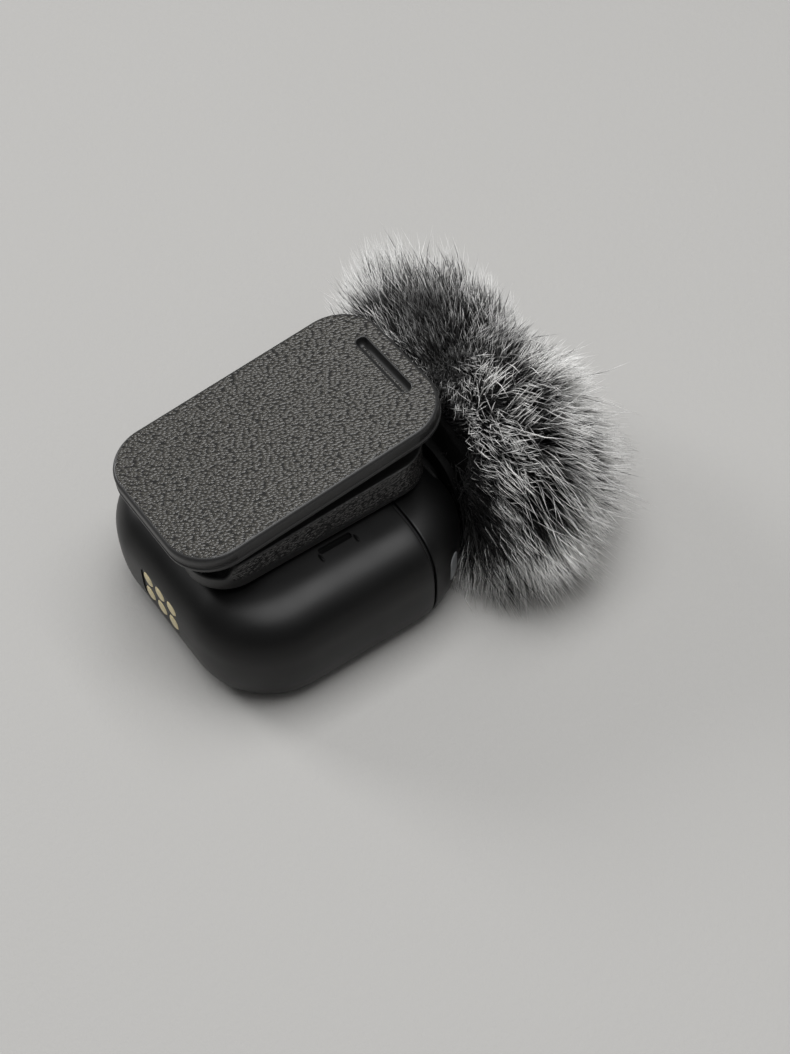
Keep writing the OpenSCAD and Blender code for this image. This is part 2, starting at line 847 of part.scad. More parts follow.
// Blunt dome that stands on the collar's flange and points along X
module dome(radius, length) {
    translate([flange_front, 0, port_level]) rotate([0, 90, 0]) rotate_extrude()
        polygon(concat([[0, 0]], [for (i = [0:lobe_steps])
            let (t = 90 * i / lobe_steps) [radius * cos(t), length * sin(t)]]));
}

module windscreen_foam() {
    color("black") dome(foam_radius, foam_length);
}

module windscreen_backing() {
    color("darkslategray") difference() {
        dome(backing_radius, backing_length);
        dome(foam_radius + fit_gap, foam_length + fit_gap);
    }
}

// Round lobe of fur
module lobe(middle, radius) {
    translate(middle) sphere(radius);
}

module windscreen_fur() {
    color("lightgray") difference() {
        intersection() {
            union() {
                lobe(large_middle, large_lobe);
                lobe(small_middle, small_lobe);
                translate(waist_middle) rotate([90, 0, 0])
                    cylinder(r = waist_radius, h = lobe_spacing, center = true);
            }
            translate([flange_front, -over, fur_floor]) cube(2 * over);
        }
        dome(backing_radius + fit_gap, backing_length + fit_gap);
    }
}

main_shell();
mic_cap();
seam_gasket();
contact_carrier();
contact_pads();
main_board();
board_screws();
shield_can();
radio_chip();
antenna();
battery();
battery_foam();
keeper_plate();
tact_switches();
power_button();
link_button();
light_pipe();
light_emitter();
front_flex();
mic_capsule();
mic_boot();
mic_mesh();
clip_base();
clip_magnets();
lower_pad();
hinge_pin();
torsion_spring();
clip_plate();
upper_pad();
windscreen_collar();
windscreen_foam();
windscreen_backing();
windscreen_fur();
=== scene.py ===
"""Dresses a clip-on lavalier microphone: smooth shells, grained clip, gold contacts and fur.

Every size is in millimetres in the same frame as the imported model, and becomes metres
when a mesh is made. +X runs to the microphone end, +Z up through the clip.
"""

import functools
import logging
import math
from dataclasses import dataclass, field
from enum import Enum

import bpy
import numpy as np
from mathutils import Matrix, Vector


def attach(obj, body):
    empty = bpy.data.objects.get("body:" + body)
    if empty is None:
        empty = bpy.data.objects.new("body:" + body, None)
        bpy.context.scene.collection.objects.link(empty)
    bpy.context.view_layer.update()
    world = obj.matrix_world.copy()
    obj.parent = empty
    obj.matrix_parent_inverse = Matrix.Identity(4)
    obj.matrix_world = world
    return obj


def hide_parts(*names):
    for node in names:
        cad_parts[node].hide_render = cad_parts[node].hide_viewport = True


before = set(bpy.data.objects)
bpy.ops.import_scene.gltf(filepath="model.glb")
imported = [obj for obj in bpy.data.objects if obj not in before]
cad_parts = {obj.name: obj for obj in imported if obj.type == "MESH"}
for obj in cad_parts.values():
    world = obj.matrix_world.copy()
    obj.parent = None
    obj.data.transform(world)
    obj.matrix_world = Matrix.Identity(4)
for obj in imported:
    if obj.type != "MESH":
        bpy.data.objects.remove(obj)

MM = 0.001
QUARTER = np.pi / 2
log = logging.getLogger("lavalier")
Array = np.ndarray
Solid = tuple[Array, list]
Socket = bpy.types.NodeSocket
Chance = np.random.Generator


# ---------------------------------------------------------------- meshes


def linked(name: str, data: bpy.types.ID) -> bpy.types.Object:
    """Puts new data into the scene as an object at the origin."""
    made = bpy.data.objects.new(name, data)
    bpy.context.scene.collection.objects.link(made)
    return made


def make_object(name: str, solid: Solid, smooth_angle: float = 35.0) -> bpy.types.Object:
    """Makes a mesh object from a solid in millimetres.

    Args:
        name: The piece's name.
        solid: Points, one row each, and faces wound so that they point outwards.
        smooth_angle: Edges sharper than this many degrees stay sharp.

    Returns:
        The linked object, at the origin.
    """
    mesh = bpy.data.meshes.new(name)
    mesh.from_pydata((solid[0] * MM).tolist(), [], solid[1])
    mesh.validate()
    mesh.update()
    piece = linked(name, mesh)
    soften(piece, smooth_angle)
    return piece


def soften(piece: bpy.types.Object, angle: float = 35.0) -> None:
    """Shades a piece smooth, and keeps edges sharper than angle degrees."""
    piece.data.shade_smooth()
    piece.data.set_sharp_from_angle(angle=math.radians(angle))


def loft(loops: Array, ring: bool = False) -> Solid:
    """Closed surface through loops of points.

    Args:
        loops: Points shaped (loops, points, 3). The loops turn to the left when seen from
            the last one, so that faces point outwards.
        ring: Joins the last loop to the first. Otherwise flat faces close both ends.

    Returns:
        Points, and faces as lists of their numbers.
    """
    rows, columns = loops.shape[:2]
    i = np.arange(rows if ring else rows - 1)[:, None]
    j = np.arange(columns)[None, :]
    onward, after = (i + 1) % rows, (j + 1) % columns
    corners = [(i, j), (i, after), (onward, after), (onward, j)]
    faces = np.stack([row * columns + column for row, column in corners], axis=-1)
    faces = faces.reshape(-1, 4).tolist()
    if not ring:
        last = (rows - 1) * columns
        faces += [list(range(columns))[::-1], list(range(last, last + columns))]
    return loops.reshape(-1, 3), faces


def stacked(outlines: list, heights: Array, ring: bool = False) -> Solid:
    """Lofts flat outlines, each at its own height along the third axis."""
    return loft(np.stack([np.column_stack([flat, np.full(len(flat), height)])
                          for flat, height in zip(outlines, heights)]), ring)


def merged(*parts: Solid) -> Solid:
    """Puts several solids into one."""
    points, faces, start = [], [], 0
    for part_points, part_faces in parts:
        points.append(part_points)
        faces += [[v + start for v in face] for face in part_faces]
        start += len(part_points)
    return np.concatenate(points), faces


def baked(piece: bpy.types.Object) -> None:
    """Replaces a piece's mesh by the result of its modifiers, and removes them."""
    view = bpy.context.evaluated_depsgraph_get()
    old = piece.data
    piece.data = bpy.data.meshes.new_from_object(piece.evaluated_get(view), depsgraph=view)
    piece.modifiers.clear()
    bpy.data.meshes.remove(old)
    piece.data.name = piece.name


def carve(piece: bpy.types.Object, *cutters: Solid, angle: float = 35.0) -> None:
    """Cuts solids out of a piece.

    Args:
        piece: The piece to cut.
        cutters: Solids that don't touch each other.
        angle: Edges sharper than this many degrees stay sharp afterwards.
    """
    tool = make_object("cutter", merged(*cutters))
    cut = piece.modifiers.new("cut", "BOOLEAN")
    cut.operation = "DIFFERENCE"
    cut.solver = "EXACT"
    cut.object = tool
    baked(piece)
    bpy.data.objects.remove(tool)
    soften(piece, angle)


def circle(count: int, start: float = 0.0) -> Array:
    """Unit vectors evenly round a circle, as (count, 2) points."""
    angle = np.linspace(0, 2 * np.pi, count, endpoint=False) + start
    return np.stack([np.cos(angle), np.sin(angle)], axis=1)


def box_outline(length: float, width: float, radius: float, count: int = 64) -> Array:
    """Rectangle with round corners: radii that run round their own corner's centre."""
    aim = circle(count, np.pi / count)
    return np.sign(aim) * (np.array([length, width]) / 2 - radius) + radius * aim


def pill_outline(length: float, width: float, count: int = 48) -> Array:
    """Round-ended outline, long along its first axis."""
    return box_outline(length, width, width / 2, count)


def prism(outline: Array, low: float, high: float) -> Solid:
    """Straight-sided solid on an outline in the plane of the first two axes."""
    return stacked([outline] * 2, (low, high))


def lathe(radii: Array, heights: Array, count: int = 48) -> Solid:
    """Solid of revolution about the third axis, through pairs of radius and height."""
    return stacked([radius * circle(count) for radius in radii], heights)


def tube(inner: float, outer: float, low: float, high: float) -> Solid:
    """Short tube about the third axis."""
    rings = [radius * circle(64) for radius in (inner, outer, outer, inner)]
    return stacked(rings, (low, low, high, high), ring=True)


def along_x(solid: Solid) -> Solid:
    """Turns a solid made about the third axis so that it runs along +X."""
    return solid[0][:, [2, 0, 1]], solid[1]


def along_y(solid: Solid) -> Solid:
    """Turns a solid made about the third axis so that it runs along +Y, about its first."""
    return solid[0][:, [0, 2, 1]] * [1, 1, -1], solid[1]


def moved(solid: Solid, x: float, y: float, z: float) -> Solid:
    """Moves a solid."""
    return solid[0] + [x, y, z], solid[1]


def turned(solid: Solid, degrees: float, axis: str) -> Solid:
    """Turns a solid about one axis through the origin."""
    spin = np.array(Matrix.Rotation(math.radians(degrees), 3, axis))
    return solid[0] @ spin.T, solid[1]


def ramp(value: Array, zero: float, one: float) -> Array:
    """Straight ramp that is 0 up to the value zero, and 1 from the value one on."""
    return np.clip((value - zero) / (one - zero), 0, 1)


def unit(vectors: Array) -> Array:
    """Vectors along the last axis, brought to length 1."""
    return vectors / np.maximum(np.linalg.norm(vectors, axis=-1, keepdims=True), 1e-9)


# ---------------------------------------------------------------- finishes


class Graph:
    """A material that is being wired, with its shader ready."""

    def __init__(self, name: str) -> None:
        """Makes a material with one Principled shader."""
        self.material = bpy.data.materials.new(name)
        self.material.use_nodes = True
        self.nodes = self.material.node_tree.nodes
        self.links = self.material.node_tree.links
        self.shader = self.nodes["Principled BSDF"]
        self.place = self.nodes.new("ShaderNodeTexCoord").outputs["Object"]

    def feed(self, node: bpy.types.Node, inputs: dict) -> None:
        """Fills a node's sockets: outputs are linked, and other values are typed in."""
        for key, value in inputs.items():
            if isinstance(value, Socket):
                self.links.new(value, node.inputs[key])
            else:
                node.inputs[key].default_value = value

    def add(self, kind: str, inputs: dict | None = None, **settings: object) -> bpy.types.Node:
        """Adds a node.

        Args:
            kind: The node's type name without its prefix.
            inputs: Socket name or number to a value, or to an output that feeds it.
            settings: The node's own properties.

        Returns:
            The new node.
        """
        node = self.nodes.new("ShaderNode" + kind)
        for key, value in settings.items():
            setattr(node, key, value)
        self.feed(node, inputs or {})
        return node

    def done(self, **values: object) -> bpy.types.Material:
        """Fills the shader's sockets, named with underscores for spaces."""
        self.feed(self.shader, {key.replace("_", " "): value for key, value in values.items()})
        return self.material

    def noise(self, scale: float, detail: float = 4.0, roughness: float = 0.55) -> Socket:
        """Soft random value over the surface, scale in waves a metre."""
        made = self.add("TexNoise", {"Vector": self.place, "Scale": scale, "Detail": detail,
                                     "Roughness": roughness})
        return made.outputs["Fac"]

    def spread(self, value: Socket, low: float, high: float, start: float = 0.3,
               end: float = 0.7) -> Socket:
        """Maps a value from start..end to low..high."""
        made = self.add("MapRange", {"Value": value, "From Min": start, "From Max": end,
                                     "To Min": low, "To Max": high})
        return made.outputs["Result"]

    def math(self, operation: str, a: object, b: object = 0.0) -> Socket:
        """One sum on two values."""
        return self.add("Math", {0: a, 1: b}, operation=operation).outputs[0]

    def tint(self, value: Socket, dark: tuple, light: tuple) -> Socket:
        """Colour between two, by a value from 0 to 1."""
        made = self.add("Mix", {0: value, 6: (*dark, 1), 7: (*light, 1)}, data_type="RGBA")
        return made.outputs[2]

    def bump(self, height: Socket, depth: float, below: Socket | None = None) -> Socket:
        """Fine relief with its depth in millimetres, over another one if given."""
        feeds = {"Height": height, "Distance": depth * MM, "Strength": 1.0}
        if below:
            feeds["Normal"] = below
        return self.add("Bump", feeds).outputs["Normal"]


@dataclass(frozen=True)
class Plain:
    """A moulded, plated or rubber finish with a little unevenness in tone and gloss."""

    name: str
    colour: tuple
    roughness: float
    metal: float = 0.0
    grain: float = 9000.0
    depth: float = 0.003
    variation: float = 0.12
    specular: float = 0.5

    def build(self) -> bpy.types.Material:
        """Returns the material."""
        g = Graph(self.name)
        cloud = g.noise(180.0, 3.0)
        fine = g.noise(self.grain, 2.0)
        dark, light = (tuple(c * share for c in self.colour)
                       for share in (1 - self.variation, 1 + self.variation))
        return g.done(Base_Color=g.tint(cloud, dark, light), Metallic=self.metal,
                      Roughness=g.spread(cloud, self.roughness * 0.9, self.roughness * 1.1),
                      Specular_IOR_Level=self.specular, Normal=g.bump(fine, self.depth))


@dataclass(frozen=True)
class LeatherGrain:
    """Moulded leather grain on the faces that look one way, or on upright walls.

    On walls the grain starts at a station along X and ends at a line that falls towards
    the front. The foot below that line stays smooth.
    """

    name: str
    colour: tuple = (0.056, 0.053, 0.046)
    # The smooth rim's own tone, which also serves as the painted shade in the grain's valleys.
    rim_and_valley_shade_colour: tuple = (0.018, 0.018, 0.018)
    roughness: float = 0.14
    rim_roughness: float = 0.4
    cells: float = 5200.0
    depth: float = 0.048
    drawn_to: float = 0.6
    drawn_out: float = 0.5
    facing: tuple = (0.0, 0.0, 1.0)
    walls: bool = False
    from_x: float = -9.2
    foot: float = 12.5
    foot_slope: float = -0.042

    def mask(self, g: Graph) -> Socket:
        """Where the grain lies: 1 on grained faces, 0 on the smooth rim."""
        normal = g.add("TexCoord").outputs["Normal"]
        aim = g.add("VectorMath", {0: normal, 1: self.facing}, operation="DOT_PRODUCT")
        value = aim.outputs["Value"]
        if not self.walls:
            return g.spread(value, 0.0, 1.0, 0.975, 0.997)
        shown = g.spread(g.math("ABSOLUTE", value), 1.0, 0.0, 0.3, 0.7)
        parts = g.add("SeparateXYZ", {0: g.place})
        x, z = parts.outputs["X"], parts.outputs["Z"]
        ahead = g.spread(x, 0.0, 1.0, (self.from_x - 0.3) * MM, (self.from_x + 0.3) * MM)
        level = g.math("SUBTRACT", z, g.math("MULTIPLY", x, self.foot_slope))
        above = g.spread(level, 0.0, 1.0, (self.foot - 0.15) * MM, (self.foot + 0.25) * MM)
        return g.math("MULTIPLY", shown, g.math("MULTIPLY", ahead, above))

    def knobs(self, g: Graph) -> Socket:
        """Height of long, slightly warped cells, all drawn out the same way."""
        aimed = g.add("VectorRotate", {"Vector": g.place, "Angle": self.drawn_to},
                      rotation_type="Z_AXIS").outputs["Vector"]
        drawn = g.add("VectorMath", {0: aimed, 1: (self.drawn_out, 1.0, 1.0)},
                      operation="MULTIPLY").outputs["Vector"]
        drift = g.add("TexNoise", {"Vector": drawn, "Scale": self.cells * 0.7, "Detail": 3.0})
        offset = g.add("VectorMath", {0: drift.outputs["Color"], 3: 0.5 / self.cells},
                       operation="SCALE").outputs["Vector"]
        warped = g.add("VectorMath", {0: drawn, 1: offset}, operation="ADD").outputs["Vector"]
        made = g.add("TexVoronoi", {"Vector": warped, "Scale": self.cells, "Smoothness": 0.15},
                     feature="SMOOTH_F1", voronoi_dimensions="3D" if self.walls else "2D")
        return g.spread(made.outputs["Distance"], 1.0, 0.0, 0.05, 0.65)

    def build(self) -> bpy.types.Material:
        """Returns the material."""
        g = Graph(self.name)
        shown, rise = self.mask(g), self.knobs(g)
        small = g.math("MULTIPLY", g.noise(self.cells * 1.2, 1.0), 0.35)
        height = g.math("MULTIPLY", g.math("ADD", rise, small), shown)
        # Painted shade: the grain's valleys are darkened towards the rim colour, and the knob tops
        # stay light.
        painted_valley_shade = g.math("MULTIPLY", g.spread(rise, 0.1, 1.0, 0.0, 0.5), shown)
        fine = g.bump(g.noise(11000.0, 2.0), 0.0015)
        return g.done(Base_Color=g.tint(painted_valley_shade, self.rim_and_valley_shade_colour, self.colour),
                      Roughness=g.spread(shown, self.rim_roughness, self.roughness, 0.0, 1.0),
                      Normal=g.bump(height, self.depth, fine))


@dataclass(frozen=True)
class Gold:
    """Plated contact metal with a few rubs."""

    name: str = "gold_plate"
    colour: tuple = (0.88, 0.76, 0.46)
    worn: tuple = (0.74, 0.66, 0.44)

    def build(self) -> bpy.types.Material:
        """Returns the material."""
        g = Graph(self.name)
        rub = g.noise(2500.0, 5.0)
        return g.done(Base_Color=g.tint(g.spread(rub, 0, 1), self.worn, self.colour),
                      Metallic=0.7, Roughness=g.spread(rub, 0.3, 0.45),
                      Normal=g.bump(g.noise(14000.0, 2.0), 0.002))


@dataclass(frozen=True)
class Milky:
    """Half-clear moulded window that scatters the light behind it."""

    name: str = "milky_window"
    colour: tuple = (0.26, 0.27, 0.28)

    def build(self) -> bpy.types.Material:
        """Returns the material."""
        g = Graph(self.name)
        deep = tuple(c * 0.8 for c in self.colour)
        return g.done(Base_Color=g.tint(g.noise(900.0, 3.0), deep, self.colour),
                      Roughness=0.3, Subsurface_Weight=0.25,
                      Subsurface_Radius=(0.001, 0.001, 0.001), Coat_Weight=0.5,
                      Normal=g.bump(g.noise(5000.0), 0.002))


@dataclass(frozen=True)
class Board:
    """Solder mask over a net of copper tracks and pads."""

    name: str = "solder_mask"
    mask_colour: tuple = (0.012, 0.09, 0.045)
    track_colour: tuple = (0.03, 0.17, 0.08)

    def build(self) -> bpy.types.Material:
        """Returns the material."""
        g = Graph(self.name)
        net = g.add("TexBrick", {"Vector": g.place, "Scale": 900.0, "Mortar Size": 0.05,
                                 "Color1": (1, 1, 1, 1), "Color2": (1, 1, 1, 1),
                                 "Mortar": (0, 0, 0, 1)})
        line = g.math("SUBTRACT", 1.0, net.outputs["Fac"])
        return g.done(Base_Color=g.tint(line, self.track_colour, self.mask_colour),
                      Roughness=0.35, Coat_Weight=0.3, Normal=g.bump(line, 0.01))


@dataclass(frozen=True)
class Cellular:
    """Foam pores or round stitches: cells with painted shade in the foam's pores and between the
    stitches.

    Tone gives the lightness in a cell's middle and at its rim, and deep is the painted shade's
    colour.
    """

    name: str
    cells: float
    colour: tuple
    deep: tuple
    tone: tuple
    rim: float
    depth: float
    roughness: float
    sheen: float

    def build(self) -> bpy.types.Material:
        """Returns the material."""
        g = Graph(self.name)
        found = g.add("TexVoronoi", {"Vector": g.place, "Scale": self.cells}, feature="F1")
        away = found.outputs["Distance"]
        # Painted shade: dark in the middle of the foam's pores, and at the rims between the knit's
        # stitches.
        tone = g.spread(away, *self.tone, 0.1, 0.6)
        return g.done(Base_Color=g.tint(tone, self.deep, self.colour),
                      Roughness=self.roughness, Sheen_Weight=self.sheen,
                      Normal=g.bump(g.spread(away, 1, 0, 0.1, self.rim), self.depth))


@dataclass(frozen=True)
class FurFinish:
    """Long synthetic hair, black at its roots and silver at its tips.

    The first coordinate of the hair's own map runs from root to tip, and the second is one
    number a hair: a chance tone, less painted shade by place.
    """

    name: str = "silver_tipped_fur"
    stops: tuple = ((0.0, 0.003), (0.47, 0.006), (0.58, 0.12), (0.68, 0.65), (0.8, 1.0))

    def build(self) -> bpy.types.Material:
        """Returns the material."""
        g = Graph(self.name)
        own = g.add("UVMap", uv_map="strand").outputs["UV"]
        parts = g.add("SeparateXYZ", {0: own})
        # Each hair's number holds its chance tone less painted shade by place, and moves where the
        # ramp turns light.
        tone_and_painted_shade = g.spread(parts.outputs["Y"], -0.5, 0.1, 0.0, 1.0)
        shades = g.add("ValToRGB", {0: g.math("ADD", parts.outputs["X"], tone_and_painted_shade)})
        points = shades.color_ramp.elements
        for number, (at, tone) in enumerate(self.stops):
            stop = points[number] if number < 2 else points.new(at)
            stop.position = at
            stop.color = (tone, tone * 0.992, tone * 0.975, 1)
        return g.done(Base_Color=shades.outputs["Color"], Roughness=0.42,
                      Specular_IOR_Level=0.42, Sheen_Weight=0.06)


@dataclass(frozen=True)
class Underfur:
    """Dense dark underlayer between the hairs."""

    name: str = "dark_underfur"
    colour: tuple = (0.012, 0.012, 0.012)

    def build(self) -> bpy.types.Material:
        """Returns the material."""
        g = Graph(self.name)
        fuzz = g.noise(2400.0, 8.0, 0.8)
        return g.done(Base_Color=g.tint(fuzz, (0.003, 0.003, 0.003), self.colour),
                      Roughness=1.0, Specular_IOR_Level=0.1, Normal=g.bump(fuzz, 0.4))


class Finish(Enum):
    """Every finish of the object, by name."""

    SHELL = "shell_plastic"
    CLIP = "clip_plastic"
    BUTTON = "button_plastic"
    BLACK = "black_plastic"
    RUBBER = "black_rubber"
    GOLD = "gold_contact"
    WINDOW = "light_window"
    BOARD = "circuit_board"
    FLEX = "flex_film"
    BATTERY = "battery_foil"
    FOAM = "foam"
    STEEL = "steel"
    MAGNET = "magnet"
    CERAMIC = "white_ceramic"
    KNIT = "knit_fabric"
    FUR = "fur"


MAKERS = {
    Finish.SHELL: Plain("satin_black_shell", (0.003, 0.003, 0.0031), 0.4, depth=0.0015,
                        variation=0.06, specular=0.3),
    Finish.CLIP: Plain("smooth_clip_black", (0.013, 0.013, 0.0132), 0.42, depth=0.0015),
    Finish.BUTTON: Plain("button_black", (0.012, 0.012, 0.0125), 0.32, depth=0.001),
    Finish.BLACK: Plain("inner_black", (0.006, 0.006, 0.006), 0.65, specular=0.15),
    Finish.RUBBER: Plain("black_rubber", (0.014, 0.014, 0.0145), 0.75, depth=0.006),
    Finish.GOLD: Gold(),
    Finish.WINDOW: Milky(),
    Finish.BOARD: Board(),
    Finish.FLEX: Plain("amber_film", (0.42, 0.2, 0.04), 0.35),
    Finish.BATTERY: Plain("battery_foil", (0.62, 0.63, 0.65), 0.38, metal=1.0, grain=700.0,
                          depth=0.03),
    Finish.FOAM: Cellular("open_foam", 3200.0, (0.05, 0.05, 0.052), (0.004, 0.004, 0.004),
                          tone=(0.25, 1.0), rim=0.7, depth=0.12, roughness=0.95, sheen=0.3),
    Finish.STEEL: Plain("plain_steel", (0.56, 0.56, 0.57), 0.3, metal=1.0, grain=6000.0,
                        depth=0.002),
    Finish.MAGNET: Plain("nickel_plate", (0.66, 0.65, 0.63), 0.2, metal=1.0, grain=4000.0,
                         depth=0.001),
    Finish.CERAMIC: Plain("white_ceramic", (0.75, 0.74, 0.7), 0.5),
    Finish.KNIT: Cellular("knit_backing", 2600.0, (0.035, 0.035, 0.037), (0.006, 0.006, 0.006),
                          tone=(1.0, 0.0), rim=0.6, depth=0.1, roughness=0.9, sheen=0.4),
    Finish.FUR: FurFinish(),
}


@functools.cache
def material(finish: Finish) -> bpy.types.Material:
    """Returns the material of a finish, which is built once."""
    return MAKERS[finish].build()


def settle(piece: bpy.types.Object, body: str, finish: Finish, *nodes: str,
           own: bpy.types.Material | None = None) -> None:
    """Gives a new piece its body and its finish.

    Args:
        piece: The piece.
        body: The body it moves with.
        finish: The finish it gets.
        nodes: The CAD nodes it stands for.
        own: Its own variant of the finish.
    """
    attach(piece, body)
    piece.data.materials.clear()
    piece.data.materials.append(own or material(finish))
    if nodes:
        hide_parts(*nodes)
    log.info("%s rides on %s", piece.name, body)


# ---------------------------------------------------------------- housing


@dataclass
class Pebble:
    """The housing's outer form: a rectangle with round corners whose edges roll in.

    The distance from the core rectangle gives the height of the surface above and below the
    widest line, by a superellipse: (across / roll) ^ power + (up / rise) ^ power = 1.
    """

    core: tuple = (5.5, 5.25)
    corner: float = 7.8
    widest: float = 6.3
    shoulder: float = 11.1
    top_roll: float = 5.6
    bottom_roll: float = 3.0
    crown: float = 0.5
    crown_edge: float = 8.6
    crown_ease: tuple = (2.9, 4.9)
    power: float = 2.5
    loop_points: int = 288
    ray_spread: tuple = (13.0, 5.6)
    halvings: int = 36

    def rolled(self, share: Array) -> Array:
        """How high the superellipse is, from 1 at share 0 to 0 at share 1."""
        return (1 - share**self.power) ** (1 / self.power)

    def heights(self, x: Array, y: Array, inset: Array) -> tuple[Array, Array, Array]:
        """Lowest and highest point of the surface over a place, and room left to the side."""
        along, across = (np.maximum(abs(v) - c, 0) for v, c in zip((x, y), self.core))
        away = np.hypot(along, across)
        up, down = (np.clip((away - self.corner + roll) / (roll - inset), 0, 1)
                    for roll in (self.top_roll, self.bottom_roll))
        ease = [ramp(abs(v), self.crown_edge, self.crown_edge - w)
                for v, w in zip((x, y), self.crown_ease)]
        bump = self.crown * np.prod([e * e * (3 - 2 * e) for e in ease], axis=0)
        high = self.widest + (self.shoulder - inset - self.widest) * self.rolled(up) + bump
        low = self.widest - (self.widest - inset) * self.rolled(down)
        return low, high, self.corner - inset - away

    def loop(self, x: Array, inset: Array) -> Array:
        """Cross-section loops at stations x, each shrunk by inset.

        Rays leave the axis at the widest line, and halving finds where each one meets the
        surface.
        """
        ray = unit(circle(self.loop_points) * self.ray_spread)
        x, inset = x[:, None], np.asarray(inset, float)[:, None]
        near = np.zeros((len(x), self.loop_points))
        far = near + 20.0
        for _ in range(self.halvings):
            reach = (near + far) / 2
            y, z = reach * ray[:, 0], self.widest + reach * ray[:, 1]
            low, high, room = self.heights(x + 0 * y, y, inset)
            inside = (z > low) & (z < high) & (room > 0)
            near, far = np.where(inside, reach, near), np.where(inside, far, reach)
        return np.stack([x + 0 * near, near * ray[:, 0], self.widest + near * ray[:, 1]], axis=-1)

    def end_stations(self, inset: float, count: int = 34) -> Array:
        """Stations from the start of the round end to its tip, close together at the tip."""
        reach = self.corner - inset - 0.0004
        return self.core[0] + reach * np.sin(np.linspace(0, QUARTER, count))


